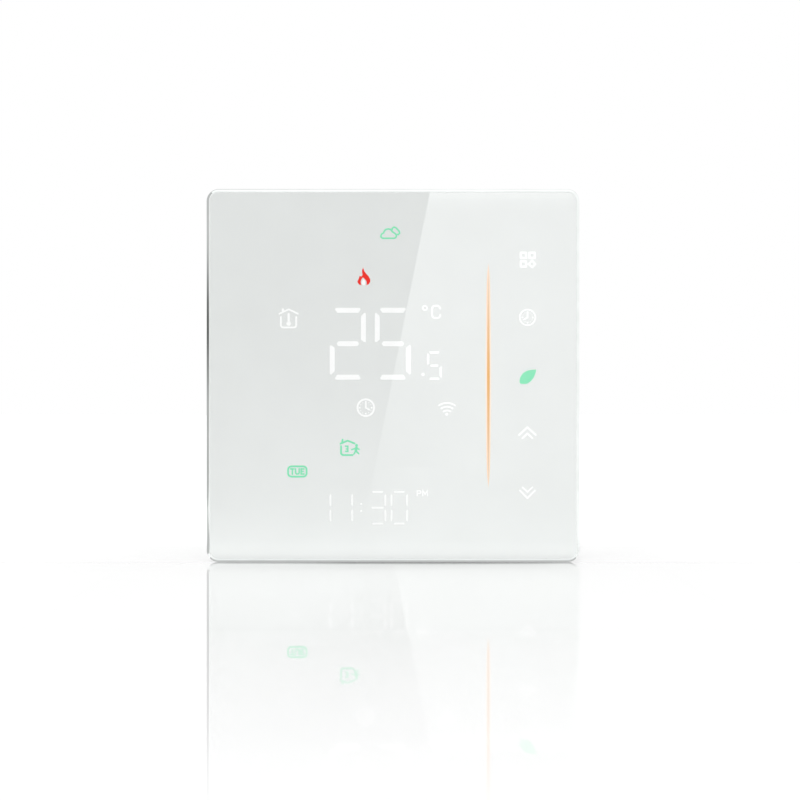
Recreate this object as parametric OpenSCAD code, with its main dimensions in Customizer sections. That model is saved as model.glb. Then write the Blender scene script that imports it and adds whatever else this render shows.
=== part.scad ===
// Wall thermostat: a glass touch display that plugs onto a power module in the wall box.
// Millimetres. +X is to the right seen from the room, +Y goes into the wall and +Z is up.
// The origin is on the wall plane, midway between the two wall-box screws.

/* [Front panel] */
// Width and height of the square glass panel
panel_size = 86; // [86:0.5:90]
// Corner radius of the glass panel
panel_corner_r = 2.8; // [2.2:0.1:4]
// Thickness of the glass
glass_t = 2; // [1.8:0.1:2.2]
// Width of the polished bevel round the front of the glass
glass_bevel = 0.5; // [0.3:0.1:0.7]
// Distance from the wall to the face of the glass
front_depth = 13.3; // [13.3:0.1:15]

/* [Display unit] */
// How far the plastic housing stands inside the edge of the glass
housing_inset = 0.4; // [0.3:0.1:0.8]
// Thickness of the reflector block that holds the light cells
reflector_t = 3.4; // [3:0.1:3.4]
// Thickness of the display board
board_t = 1.2; // [1:0.1:1.2]
// Sideways distance of the touch keys from the centre
key_x = 31.2; // [30.5:0.1:31.5]
// Distance between neighbouring touch keys
key_pitch = 13.45; // [13:0.05:13.6]
// Coil radius of a touch spring
spring_r = 3; // [2.6:0.1:3.1]

/* [Wall plate] */
// Width and height of the steel mounting plate
plate_size = 78.4; // [78:0.1:78.6]
// Thickness of the steel
plate_t = 1; // [0.8:0.1:1]
// Distance between the two wall-box screws
wall_screw_pitch = 60; // [59:0.1:61]
// Radius of a wall-box screw over its thread
wall_screw_r = 1.75; // [1.6:0.05:1.8]
// Length of the thread behind the wall plane
wall_screw_length = 20; // [14:1:30]

/* [Rear housing] */
// Width of the box in the wall
rear_w = 49; // [49:0.1:49.4]
// Height of the box in the wall
rear_h = 42.4; // [42.4:0.1:42.6]
// Depth of the box behind the wall plane
rear_depth = 24; // [23:0.5:30]
// Wall thickness of the box
rear_wall = 1.5; // [1.3:0.1:1.5]

/* [Terminals] */
// Distance between neighbouring terminals
terminal_pitch = 6.2; // [6.1:0.05:6.25]
// Outer radius of a terminal screw's thread
terminal_screw_r = 1.45; // [1.3:0.05:1.45]
// How far a clamp opens below its current bar
clamp_travel = 2; // [1.6:0.1:2]

/* [Hidden] */
$fn = 48;
eps = 0.05;                 // how far a cutting tool reaches past the face it cuts
gap = 0.1;                  // smallest clearance between parts that slide on each other

TERMINALS = 6;

// Layers of the display unit, from the room towards the wall
glass_front_y = -front_depth;
glass_back_y = glass_front_y + glass_t;
tape_t = 0.2;
mask_t = 0.2;
diffuser_t = 0.3;
housing_front_y = glass_back_y + tape_t;
mask_back_y = glass_back_y + mask_t;
diffuser_back_y = mask_back_y + diffuser_t;
board_front_y = diffuser_back_y + reflector_t;
board_back_y = board_front_y + board_t;
housing_back_y = -0.5;      // the housing's rim stops just short of the wall

// Outline sizes of the display unit
housing_size = panel_size - 2 * housing_inset;
housing_corner_r = panel_corner_r - housing_inset;
window_size = 76;           // opening in the front of the housing, which holds the reflector
film_size = window_size - 0.4;
cavity_size = 80.8;         // opening in the back of the housing, which holds the board
board_size = 80;
shadow_gap_y = -3.2;        // the rim is set back from here to the wall
shadow_gap_size = housing_size - 1.8;
board_screw_at = 36.2;      // board screws, from the centre both ways
board_boss_r = 3;
board_screw_r = 0.8;
board_screw_head_t = 1.2;

// Layers of the base, from the room towards the wall box
flange_t = 1;
flange_front_y = -plate_t - flange_t;
cover_t = 1.4;
cover_front_y = flange_front_y - cover_t;
flange_w = 52.8;
flange_h = 52;
cover_screw_x = 20;
cover_screw_z = 23.9;
cover_screw_r = 1;
rear_chamfer = 4.4;
power_front_y = 0.6;
power_t = 1.6;
power_back_y = power_front_y + power_t;
power_low_z = -19.9;

// Plug between the display unit and the base
PINS = 8;
pin_pitch = 2.54;
pin_w = 0.64;
header_z = 12;
pin_front_y = -5.3;
header_front_y = -1.1;
socket_back_y = -1.6;

// Terminal block: wires come up from below and the screws face the wall box
block_w = TERMINALS * terminal_pitch + 1.2;
block_bottom_z = -21;
block_top_z = -10.1;
block_back_y = 14.2;
chamber_front_y = 3.2;
chamber_back_y = 11.7;
chamber_w = 4.4;
chamber_bottom_z = -18.9;
chamber_top_z = -12.1;
terminal_z = -15.7;
bar_t = 0.8;
bar_front_y = 7.4;
bar_back_y = bar_front_y + bar_t;
bar_w = 2.8;
bar_leg_z = -12.6;
bar_leg_t = 0.6;
clamp_w = 4.2;
clamp_side_t = 0.55;
clamp_floor_t = 0.7;
clamp_head_t = 1.1;
clamp_inner_h = clamp_travel + bar_t + 4 * gap;
clamp_front_y = bar_front_y - gap - clamp_travel - clamp_floor_t;
clamp_length = 5.2;
screw_head_r = 2.2;
screw_head_front_y = 11.8;
screw_head_t = 1.8;

// Relay, in its own frame: along +X, up from the power board along +Y, and across Z
relay_x = -21.9;
relay_z = 0.6;
relay_l = 19.2;
relay_w = 15.6;
relay_h = 15.4;
relay_wall = 0.45;
relay_base_h = 1.4;
core_x = 8.2;
core_r = 2;
pole_r = 3.2;
pole_top = 11.72;
armature_low = 12.3;
armature_t = 1;
armature_hinge_x = 2.2;
contact_x = 15.8;

// Transformer centre and sizes
transformer_x = 5.2;
transformer_z = -0.8;
core_depth = 6;
core_low_y = 4.6;
core_high_y = 17.4;

// Seven-segment digits: [x, z, width, height, stroke, end inset]
DIGITS = [
    [-10.35, 7.33, 8.35, 16.7, 1.3, 1.15],
    [0.1, 7.33, 8.35, 16.7, 1.3, 1.15],
    [9.6, 2.3, 3.7, 6.6, 0.74, 0.55],
    [-16.15, -30.45, 4.05, 7.7, 0.5, 0.7],
    [-11.13, -30.45, 4.05, 7.7, 0.5, 0.7],
    [-3.46, -30.45, 4.05, 7.7, 0.5, 0.7],
    [1.54, -30.45, 4.05, 7.7, 0.5, 0.7]
];
decimal_at = [7.05, 0.2];
colon_x = -7.26;
COLON_Z = [-29.65, -31.15];
degree_at = [7.55, 15.6];
unit_at = [10.1, 14.75];
cloud_at = [-0.9, 32.7];
flame_at = [-6.6, 22.7];
house_at = [-24, 13.1];
clock_at = [-6.15, -7.42];
signal_at = [12.5, -9];
away_at = [-9.9, -16.7];
day_at = [-21.9, -22.25];
afternoon_at = [6.8, -27.05];
light_bar_x = 22.1;
light_bar_h = 51.6;
light_bar_w = 0.7;
KEY_Z = [for (i = [2:-1:-2]) i * key_pitch];
AMBER_Z = [for (i = [-2:2]) i * light_bar_h / 5];
led_w = 0.9;
led_t = 0.5;

// ---------- Shared shapes ----------

// Extrudes a drawing in X and Z from y0 to y1
module slab(y0, y1) {
    translate([0, y1, 0]) rotate([90, 0, 0]) linear_extrude(y1 - y0) children();
}

// A straight round rod along Y, or a cone where r2 is given
module rod(x, z, r, y0, y1, r2 = -1) {
    translate([x, y0, z]) rotate([-90, 0, 0]) cylinder(h = y1 - y0, r1 = r, r2 = r2 < 0 ? r : r2);
}

// A box between two corners
module block(low, high) {
    translate(low) cube(high - low);
}

module rounded_square(w, h, r) {
    square([w - 2 * r, h], center = true);
    square([w, h - 2 * r], center = true);
    for (x = [-1, 1], z = [-1, 1]) translate([x * (w / 2 - r), z * (h / 2 - r)]) circle(r);
}

// A rectangle with its four corners cut off
module cut_square(w, h, c) {
    polygon([
        [-w / 2 + c, -h / 2], [w / 2 - c, -h / 2], [w / 2, -h / 2 + c], [w / 2, h / 2 - c],
        [w / 2 - c, h / 2], [-w / 2 + c, h / 2], [-w / 2, h / 2 - c], [-w / 2, -h / 2 + c]
    ]);
}

module four_corners(x, z) {
    for (sx = [-1, 1], sz = [-1, 1]) translate([sx * x, 0, sz * z]) children();
}

// Straight strokes of width t through the points p
module stroke(p, t) {
    for (i = [0:len(p) - 2]) {
        run = p[i + 1] - p[i];
        translate(p[i]) rotate(atan2(run[1], run[0])) translate([-t / 2, -t / 2]) square([norm(run) + t, t]);
    }
}

module ring(r, t) {
    difference() {
        circle(r);
        circle(r - t);
    }
}

// Part of a ring, upwards from its centre, through half_angle each way
module arc_stroke(r, t, half_angle) {
    side = 2 * r * sin(half_angle);
    up = 2 * r * cos(half_angle);
    intersection() {
        ring(r, t);
        polygon([[0, 0], [side, up], [-side, up]]);
    }
}

// ---------- Display drawing ----------

function flip(p, sx, sz) = [for (q = p) [sx * q[0], sz * q[1]]];
function top_segment(w, h, t, e) =
    [[-w + e, h], [w - e, h], [w - e - 0.75 * t, h - t], [-w + e + 0.75 * t, h - t]];
function side_segment(w, h, t, e) =
    [[w, h - 0.9 * e], [w, 0.37 * t], [w - t, t], [w - t, h - 0.9 * e - 0.7 * t]];
function middle_segment(w, t, e) =
    [[-w + e + 0.35 * t, 0], [-w + e + 0.85 * t, t / 2], [w - e - 0.85 * t, t / 2],
     [w - e - 0.35 * t, 0], [w - e - 0.85 * t, -t / 2], [-w + e + 0.85 * t, -t / 2]];
// The segments of a digit of half width w and half height h, in the order top, sides, bottom and middle
function segments(w, h, t, e) = [
    top_segment(w, h, t, e),
    side_segment(w, h, t, e),
    flip(side_segment(w, h, t, e), 1, -1),
    flip(top_segment(w, h, t, e), 1, -1),
    flip(side_segment(w, h, t, e), -1, -1),
    flip(side_segment(w, h, t, e), -1, 1),
    middle_segment(w, t, e)
];
// The middle of each of those segments
function segment_centres(w, h, t) =
    [[0, h - t / 2], [w - t / 2, h / 2], [w - t / 2, -h / 2], [0, t / 2 - h],
     [t / 2 - w, -h / 2], [t / 2 - w, h / 2], [0, 0]];

module digit_windows() {
    for (d = DIGITS, s = segments(d[2] / 2, d[3] / 2, d[4], d[5])) translate([d[0], d[1]]) polygon(s);
    translate(decimal_at) circle(0.55);
    for (z = COLON_Z) translate([colon_x, z]) circle(0.28);
}

module unit_icon() {
    translate(degree_at) ring(0.7, 0.35);
    translate(unit_at) {
        stroke([[0.9, 1.0], [0.4, 1.35], [-0.4, 1.35], [-0.95, 0.8], [-0.95, 0]], 0.5);
        stroke([[0.9, -1.0], [0.4, -1.35], [-0.4, -1.35], [-0.95, -0.8], [-0.95, 0]], 0.5);
    }
}

module cloud_outline(grow) {
    translate([-1.25, -0.45]) circle(0.75 + grow);
    translate([-0.25, 0.1]) circle(1.05 + grow);
    translate([0.95, -0.4]) circle(0.8 + grow);
    translate([-1.25, -1.2 - grow]) square([2.2, 1 + grow]);
}

module cloud_icon() {
    translate(cloud_at) {
        difference() {
            cloud_outline(0);
            cloud_outline(-0.4);
        }
        translate([1.35, 0.85]) difference() {
            ring(1, 0.4);
            translate([-1.6, -1.4]) square([1.5, 2.4]);
        }
    }
}

module flame_icon() {
    translate(flame_at) difference() {
        polygon([
            [-0.25, 2.1], [0.15, 1.2], [0.75, 0.6], [1.35, -0.25], [1.45, -0.95], [1.15, -1.6], [0.5, -2.05],
            [-0.5, -2.05], [-1.1, -1.65], [-1.45, -1.05], [-1.1, -0.55], [-0.85, 0.2], [-0.45, 0.8]
        ]);
        translate([0, -1.25]) circle(0.55);
    }
}

module house_walls(w, h) {
    stroke([[-w, 0.4 * h], [-w, -h], [w, -h], [w, 0.4 * h]], 0.42);
    stroke([[-1.2 * w, 0.45 * h], [0, 1.05 * h], [1.2 * w, 0.45 * h]], 0.42);
}

module house_icon() {
    translate(house_at) {
        house_walls(1.85, 2.05);
        stroke([[0, 0.6], [0, -0.9]], 0.5);
        translate([0, -1.1]) circle(0.5);
    }
}

module away_icon() {
    translate(away_at) {
        house_walls(1.6, 1.75);
        stroke([[-0.3, 0.35], [0.3, 0.35], [0.3, -0.1], [-0.3, -0.1], [-0.3, -0.6], [0.3, -0.6]], 0.25);
    }
}

module clock_icon(r) {
    ring(r, 0.45);
    stroke([[0, r - 0.85], [0, 0], [0.8, -0.5]], 0.35);
}

module signal_icon() {
    translate(signal_at) {
        circle(0.35);
        for (i = [1:3]) arc_stroke(0.45 + i * 0.95, 0.5, 44);
    }
}

module day_icon() {
    translate(day_at) {
        difference() {
            rounded_square(4.8, 2.8, 0.8);
            rounded_square(4.2, 2.2, 0.6);
        }
        for (x = [-1.15, 0, 1.15]) translate([x, 0]) square([0.55, 1.3], center = true);
    }
}

module afternoon_icon() {
    translate(afternoon_at) for (x = [-0.75, 0.75]) translate([x, 0]) square([0.9, 1.35], center = true);
}

module light_bar_window() {
    translate([light_bar_x, 0]) polygon([
        [0, light_bar_h / 2], [light_bar_w / 2, light_bar_h / 8], [light_bar_w / 2, -light_bar_h / 8],
        [0, -light_bar_h / 2], [-light_bar_w / 2, -light_bar_h / 8], [-light_bar_w / 2, light_bar_h / 8]
    ]);
}

module menu_key_icon() {
    for (x = [-1, 1], z = [-1, 1]) translate([x, z]) difference() {
        square(1.7, center = true);
        square(0.8, center = true);
    }
}

module leaf_key_icon() {
    intersection() {
        translate([1.25, -1.25]) circle(2.9);
        translate([-1.25, 1.25]) circle(2.9);
    }
}

module chevrons(way) {
    for (z = [-0.75, 0.75]) stroke([[-1.8, z - way * 0.9], [0, z + way * 0.9], [1.8, z - way * 0.9]], 0.45);
}

module key_icons() {
    translate([key_x, KEY_Z[0]]) menu_key_icon();
    translate([key_x, KEY_Z[1]]) clock_icon(1.97);
    translate([key_x, KEY_Z[2]]) leaf_key_icon();
    translate([key_x, KEY_Z[3]]) chevrons(1);
    translate([key_x, KEY_Z[4]]) chevrons(-1);
}

module icon_windows() {
    unit_icon();
    cloud_icon();
    flame_icon();
    house_icon();
    translate(clock_at) clock_icon(2.1);
    signal_icon();
    away_icon();
    day_icon();
    afternoon_icon();
    key_icons();
}

// Round light cells behind the icons that aren't keys: [x, z, radius]
ICON_CELLS = [
    [degree_at[0] + 1.6, degree_at[1] - 0.6, 2.8],
    [cloud_at[0], cloud_at[1], 2.9],
    [flame_at[0], flame_at[1], 2.4],
    [house_at[0], house_at[1], 3],
    [clock_at[0], clock_at[1], 2.4],
    [signal_at[0], signal_at[1] + 1.6, 2.6],
    [away_at[0], away_at[1], 2.8],
    [day_at[0], day_at[1], 2.8],
    [afternoon_at[0], afternoon_at[1], 1.7]
];
GREEN_CELLS = [1, 6, 7];    // the cloud, away and day icons are green
RED_CELL = 2;               // the flame is red
LEAF_KEY = 2;

DIGIT_LEDS = [
    for (d = DIGITS, c = segment_centres(d[2] / 2, d[3] / 2, d[4])) [d[0] + c[0], d[1] + c[1]]
];
WHITE_LEDS = concat(
    DIGIT_LEDS,
    [decimal_at, [colon_x, (COLON_Z[0] + COLON_Z[1]) / 2]],
    [for (i = [0, 3, 4, 5, 8]) [ICON_CELLS[i][0], ICON_CELLS[i][1]]],
    [for (i = [0, 1, 3, 4]) [key_x, KEY_Z[i]]]
);
GREEN_LEDS = concat([for (i = GREEN_CELLS) [ICON_CELLS[i][0], ICON_CELLS[i][1]]], [[key_x, KEY_Z[LEAF_KEY]]]);
AMBER_LEDS = [for (z = AMBER_Z) [light_bar_x, z]];

module leds(places) {
    for (p = places) translate([p[0], board_front_y - led_t / 2, p[1]]) {
        cube([led_w, led_t, led_w], center = true);
    }
}

// ---------- Display unit ----------

// A rounded slab whose front edge is bevelled all round
module bevelled_slab(size, r, y0, y1, bevel) {
    flat = size - 2 * r;
    half = size / 2;
    right_side = [[half, y1], [half, y0 + bevel], [half - bevel, y0]];
    left_side = [[bevel - half, y0], [-half, y0 + bevel], [-half, y1]];
    profile = concat(right_side, left_side);
    four_corners(flat / 2, flat / 2) {
        rod(0, 0, r, y0 + bevel, y1);
        rod(0, 0, r - bevel, y0, y0 + bevel, r);
    }
    translate([0, 0, -flat / 2]) linear_extrude(flat) polygon(profile);
    rotate([0, 90, 0]) translate([0, 0, -flat / 2]) linear_extrude(flat) polygon(profile);
}

module glass_panel() {
    color("#e6e9e8") bevelled_slab(panel_size, panel_corner_r, glass_front_y, glass_back_y, glass_bevel);
}

module panel_tape() {
    color("#3a3a3a") slab(glass_back_y, housing_front_y) difference() {
        rounded_square(housing_size - 0.8, housing_size - 0.8, housing_corner_r);
        square(window_size + 0.6, center = true);
    }
}

module display_mask() {
    color("#f2f3f2") slab(glass_back_y, mask_back_y) difference() {
        square(film_size, center = true);
        digit_windows();
        icon_windows();
        light_bar_window();
    }
}

module diffuser_sheet() {
    color("#fbfbf7") slab(mask_back_y, diffuser_back_y) square(film_size, center = true);
}

module segment_reflector() {
    guide_w = 3.2;
    color("white") difference() {
        slab(diffuser_back_y, board_front_y) difference() {
            square(film_size, center = true);
            digit_windows();
            for (c = ICON_CELLS) translate([c[0], c[1]]) circle(c[2]);
            for (z = KEY_Z) translate([key_x, z]) circle(spring_r + 0.6);
            translate([light_bar_x, 0]) square([guide_w, light_bar_h + 1], center = true);
            for (x = [-1, 1], z = [-1, 1]) translate([x, z] * board_screw_at) circle(board_boss_r + 0.3);
        }
        for (p = concat(DIGIT_LEDS, [decimal_at, [colon_x, (COLON_Z[0] + COLON_Z[1]) / 2]])) {
            translate([p[0], board_front_y, p[1]]) cube([led_w + 0.3, 1.4, led_w + 0.3], center = true);
        }
    }
}

module light_bar_guide() {
    color("#fff3df") slab(diffuser_back_y, board_front_y - led_t - gap) {
        translate([light_bar_x, 0]) square([3, light_bar_h + 0.8], center = true);
    }
}

module vent_slots() {
    slots = 9;
    for (i = [0:slots - 1]) translate([(i - (slots - 1) / 2) * 4, 0, 0]) {
        block([-0.9, -6, -housing_size], [0.9, -4.2, housing_size]);
    }
}

module front_housing() {
    pry_notch_w = 8;
    rib_x = plate_size / 2 + gap;
    color("#f4f5f5") difference() {
        union() {
            difference() {
                slab(housing_front_y, housing_back_y) {
                    rounded_square(housing_size, housing_size, housing_corner_r);
                }
                slab(housing_front_y - eps, board_front_y + eps) square(window_size, center = true);
                slab(board_front_y, housing_back_y + eps) square(cavity_size, center = true);
            }
            four_corners(board_screw_at, board_screw_at) {
                rod(0, 0, board_boss_r, diffuser_back_y + 0.2, board_front_y);
            }
            for (s = [-1, 1], z = [-23, 23]) {
                block(
                    [s > 0 ? rib_x : -cavity_size / 2 - 0.2, -3.6, z - 4],
                    [s > 0 ? cavity_size / 2 + 0.2 : -rib_x, -1.2, z + 4]
                );
            }
        }
        four_corners(board_screw_at, board_screw_at) {
            rod(0, 0, board_screw_r + eps, diffuser_back_y + 0.6, board_front_y + eps);
        }
        slab(shadow_gap_y, housing_back_y + eps) difference() {
            square(housing_size + 2, center = true);
            rounded_square(shadow_gap_size, shadow_gap_size, housing_corner_r);
        }
        intersection() {
            vent_slots();
            difference() {
                cube(2 * panel_size, center = true);
                cube(2 * board_screw_at, center = true);
            }
        }
        block([-pry_notch_w / 2, -2, -housing_size], [pry_notch_w / 2, 0, -cavity_size / 2 + eps]);
    }
}

module display_board() {
    color("#1f6b45") slab(board_front_y, board_back_y) difference() {
        rounded_square(board_size, board_size, 1.5);
        for (x = [-1, 1], z = [-1, 1]) translate([x, z] * board_screw_at) circle(board_screw_r + 0.35);
        translate([-29, -34.5]) square([1, 7], center = true);
        translate([-32.6, -30.6]) square([8.2, 1], center = true);
    }
}

module white_leds() {
    color("#fffbe6") leds(WHITE_LEDS);
}

module green_leds() {
    color("#8ce8b4") leds(GREEN_LEDS);
}

module red_led() {
    color("#ff2b12") leds([[ICON_CELLS[RED_CELL][0], ICON_CELLS[RED_CELL][1]]]);
}

module amber_leds() {
    color("#ffb25a") leds(AMBER_LEDS);
}

// Points of ring i of a coil spring's wire, with the coil's axis along Y
function spring_ring(i, steps, turns, wire_r, sides) =
    let(a = 360 * turns * i / steps, y = board_front_y - wire_r - (reflector_t - 2 * wire_r) * i / steps)
    [for (k = [0:sides - 1])
        let(b = 360 * k / sides, r = spring_r - wire_r + wire_r * cos(b))
        [r * cos(a), y + wire_r * sin(b), r * sin(a)]];

module touch_spring() {
    wire_r = 0.25;
    sides = 6;
    turns = 3.5;
    steps = 42;
    points = [for (i = [0:steps]) each spring_ring(i, steps, turns, wire_r, sides)];
    skin = [
        for (i = [0:steps - 1], k = [0:sides - 1])
            let(n = (k + 1) % sides)
            [i * sides + k, (i + 1) * sides + k, (i + 1) * sides + n, i * sides + n]
    ];
    first_cap = [for (k = [0:sides - 1]) k];
    last_cap = [for (k = [sides - 1:-1:0]) steps * sides + k];
    polyhedron(points, concat(skin, [first_cap, last_cap]));
}

module touch_springs() {
    color("#c9ccd0") for (z = KEY_Z) translate([key_x, 0, z]) touch_spring();
}

module chip(x, z, w, h, y0, t) {
    translate([x, y0 + t / 2, z]) cube([w, t, h], center = true);
}

module control_chips() {
    color("#26272a") {
        chip(-17, 12, 10, 10, board_back_y, 1.4);
        chip(17, -6, 7.5, 17.8, board_back_y, 2.1);
        chip(32, 0, 4, 10, board_back_y, 1.6);
    }
}

module wifi_board() {
    color("#17181c") chip(0, 31, 24, 16, board_back_y, 0.8);
}

module wifi_shield() {
    color("#c3c6c9") chip(3.4, 31, 15.6, 12.6, board_back_y + 0.8, 1.7);
}

module header_socket() {
    w = PINS * pin_pitch + 0.3;
    color("#1d1d1f") difference() {
        block([-w / 2, board_back_y, header_z - 1.25], [w / 2, socket_back_y, header_z + 1.25]);
        for (i = [0:PINS - 1]) translate([(i - (PINS - 1) / 2) * pin_pitch, 0, header_z]) {
            block([-0.4, board_back_y + 0.4, -0.4], [0.4, socket_back_y + eps, 0.4]);
        }
    }
}

// A cross for a screwdriver, cut depth deep into a head that faces -Y at y
module cross_recess(y, r, depth) {
    for (a = [0, 90]) rotate([0, a, 0]) block([-r, y - eps, -r / 5], [r, y + depth, r / 5]);
}

module board_screws() {
    color("#9fa3a8") four_corners(board_screw_at, board_screw_at) difference() {
        union() {
            rod(0, 0, 1.8, board_back_y, board_back_y + board_screw_head_t, 1.4);
            rod(0, 0, board_screw_r, diffuser_back_y + 0.9, board_back_y);
        }
        mirror([0, 1, 0]) cross_recess(-board_back_y - board_screw_head_t, 1, 0.6);
    }
}

module temperature_sensor() {
    bead = [-33, board_back_y + 2.2, -35];
    color("#2a2b2d") {
        translate(bead) sphere(1.2);
        for (x = [-0.6, 0.6]) rod(bead[0] + x, bead[2], 0.22, board_back_y, bead[1]);
    }
}

module backup_battery() {
    color("#d2d4d6") {
        rod(-17, -10, 6.25, board_back_y, board_back_y + 1.6);
        rod(-17, -10, 5.4, board_back_y + 1.6, board_back_y + 2);
    }
}

// ---------- Base ----------

// A slot of width 2r whose ends are round, centred on the origin
module round_slot(length, r) {
    square([length - 2 * r, 2 * r], center = true);
    for (s = [-1, 1]) translate([s * (length / 2 - r), 0]) circle(r);
}

module mounting_plate() {
    opening_play = 1;
    slot_length = 7.6;
    slot_r = 2.1;
    lug_w = 10;
    color("#b9bcbf") {
        slab(-plate_t, 0) difference() {
            rounded_square(plate_size, plate_size, 4);
            cut_square(rear_w + opening_play, rear_h + opening_play, rear_chamfer);
            for (s = [-1, 1]) {
                translate([s * wall_screw_pitch / 2, 0]) round_slot(slot_length, slot_r);
                translate([0, s * wall_screw_pitch / 2]) rotate(90) round_slot(slot_length, slot_r);
            }
            for (x = [-1, 1], z = [-1, 1]) {
                translate([x * cover_screw_x, z * cover_screw_z]) circle(cover_screw_r + eps);
            }
        }
        for (s = [-1, 1], z = [-23, 23]) {
            block(
                [s > 0 ? plate_size / 2 - plate_t : -plate_size / 2, -4.6, z - lug_w / 2],
                [s > 0 ? plate_size / 2 : plate_t - plate_size / 2, -plate_t / 2, z + lug_w / 2]
            );
        }
    }
}

module wall_screws() {
    head_r = 3.2;
    head_t = 1.9;
    tip_l = 2;
    color("#c4c6c8") for (s = [-1, 1]) translate([s * wall_screw_pitch / 2, 0, 0]) difference() {
        union() {
            rod(0, 0, head_r - 0.9, -plate_t - head_t, -plate_t - 1, head_r);
            rod(0, 0, head_r, -plate_t - 1, -plate_t);
            rod(0, 0, wall_screw_r - 0.3, -plate_t, 0);
            rod(0, 0, wall_screw_r, 0, wall_screw_length);
            rod(0, 0, wall_screw_r, wall_screw_length, wall_screw_length + tip_l, 0.5);
        }
        cross_recess(-plate_t - head_t, 1.7, 1.1);
    }
}

module cover_screws() {
    head_t = 1.3;
    color("#9fa3a8") four_corners(cover_screw_x, cover_screw_z) difference() {
        union() {
            rod(0, 0, 1.4, cover_front_y - head_t, cover_front_y, 2);
            rod(0, 0, cover_screw_r, cover_front_y, -eps);
        }
        cross_recess(cover_front_y - head_t, 1.2, 0.7);
    }
}

module base_cover() {
    post_r = 1.5;
    color("#e9eaea") {
        slab(cover_front_y, flange_front_y) difference() {
            rounded_square(flange_w, flange_h, 2);
            translate([0, header_z]) square([22, 4], center = true);
            for (x = [-1, 1], z = [-1, 1]) {
                translate([x * cover_screw_x, z * cover_screw_z]) circle(cover_screw_r + 0.35);
            }
            for (i = [-4:4]) translate([i * 4, -12]) square([1.6, 9], center = true);
        }
        for (x = [-17, 17]) rod(x, 16, post_r, flange_front_y, power_front_y);
        for (x = [-17, 17]) rod(x, -18.4, post_r, flange_front_y, power_front_y);
    }
}

// The floor plan of the inside of the box above the terminal bay
module electronics_bay_plan(play) {
    inner_w = rear_w - 2 * (rear_wall + play);
    inner_h = rear_h - 2 * (rear_wall + play);
    intersection() {
        cut_square(inner_w, inner_h, rear_chamfer - play / 2);
        translate([-rear_w / 2, block_top_z + rear_wall + play]) square([rear_w, rear_h]);
    }
}

module rear_housing() {
    label_w = 30;
    label_h = 18;
    color("#f1f1ee") difference() {
        union() {
            slab(flange_front_y, -plate_t) difference() {
                rounded_square(flange_w, flange_h, 2);
                for (x = [-1, 1], z = [-1, 1]) {
                    translate([x * cover_screw_x, z * cover_screw_z]) circle(cover_screw_r + 0.35);
                }
            }
            slab(-plate_t, rear_depth) cut_square(rear_w, rear_h, rear_chamfer);
        }
        slab(flange_front_y - eps, rear_depth - rear_wall) electronics_bay_plan(0);
        slab(flange_front_y - eps, power_back_y + gap) translate([0, block_top_z]) {
            square([block_w + 0.3, 8], center = true);
        }
        block(
            [-block_w / 2 - 0.15, flange_front_y - eps, power_low_z - 0.3],
            [block_w / 2 + 0.15, power_back_y + gap, block_top_z + 0.2]
        );
        block(
            [-block_w / 2 - 0.15, power_back_y, -rear_h],
            [block_w / 2 + 0.15, rear_depth + eps, block_top_z + 0.15]
        );
        block([-rear_w, block_back_y, -rear_h], [rear_w, rear_depth + eps, block_top_z + 0.15]);
        slab(rear_depth - 0.3, rear_depth + eps) translate([0, 6]) rounded_square(label_w, label_h, 1);
        for (i = [-3:3]) translate([i * 4, 0, 0]) {
            block([-0.8, 12, rear_h / 2 - rear_wall - eps], [0.8, 20, rear_h]);
        }
    }
}

module power_board_plan() {
    electronics_bay_plan(0.3);
    translate([-block_w / 2, power_low_z]) square([block_w, 13]);
}

module power_board() {
    color("#c9a24a") slab(power_front_y, power_back_y) difference() {
        power_board_plan();
        for (i = [0:PINS - 1]) translate([(i - (PINS - 1) / 2) * pin_pitch, header_z]) circle(0.5);
        for (i = [0:TERMINALS - 1]) translate([terminal_x(i), bar_leg_z]) {
            square([bar_w + 0.2, bar_leg_t + 0.2], center = true);
        }
    }
}

module header_base() {
    w = PINS * pin_pitch;
    color("#1d1d1f") difference() {
        block([-w / 2, header_front_y, header_z - 1.27], [w / 2, power_front_y, header_z + 1.27]);
        for (i = [0:PINS - 1]) translate([(i - (PINS - 1) / 2) * pin_pitch, 0, header_z]) {
            cube([pin_w + 0.02, 10, pin_w + 0.02], center = true);
        }
    }
}

module header_pins() {
    color("#d8b85a") for (i = [0:PINS - 1]) translate([(i - (PINS - 1) / 2) * pin_pitch, 0, header_z]) {
        block([-pin_w / 2, pin_front_y, -pin_w / 2], [pin_w / 2, power_back_y + 1, pin_w / 2]);
    }
}

module power_chips() {
    color("#26272a") {
        chip(-4, -3, 5, 4, power_front_y - 1.5, 1.5);
        chip(8, 3, 6.6, 4.8, power_front_y - 1.6, 1.6);
    }
}

// ---------- Terminals ----------

function terminal_x(i) = (i - (TERMINALS - 1) / 2) * terminal_pitch;

module terminal_block() {
    entry_w = 3.6;
    color("#2f7d46") difference() {
        block([-block_w / 2, power_back_y, block_bottom_z], [block_w / 2, block_back_y, block_top_z]);
        for (i = [0:TERMINALS - 1]) translate([terminal_x(i), 0, 0]) {
            block(
                [-chamber_w / 2, chamber_front_y, chamber_bottom_z],
                [chamber_w / 2, chamber_back_y, chamber_top_z]
            );
            rod(0, terminal_z, screw_head_r + 0.25, chamber_back_y - eps, block_back_y + eps);
            block([-entry_w / 2, 4.6, block_bottom_z - eps], [entry_w / 2, 7.6, chamber_bottom_z + eps]);
            translate([0, 0, bar_leg_z]) {
                block(
                    [-bar_w / 2, power_back_y - eps, -bar_leg_t / 2],
                    [bar_w / 2, chamber_front_y + eps, bar_leg_t / 2]
                );
            }
        }
    }
}

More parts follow.
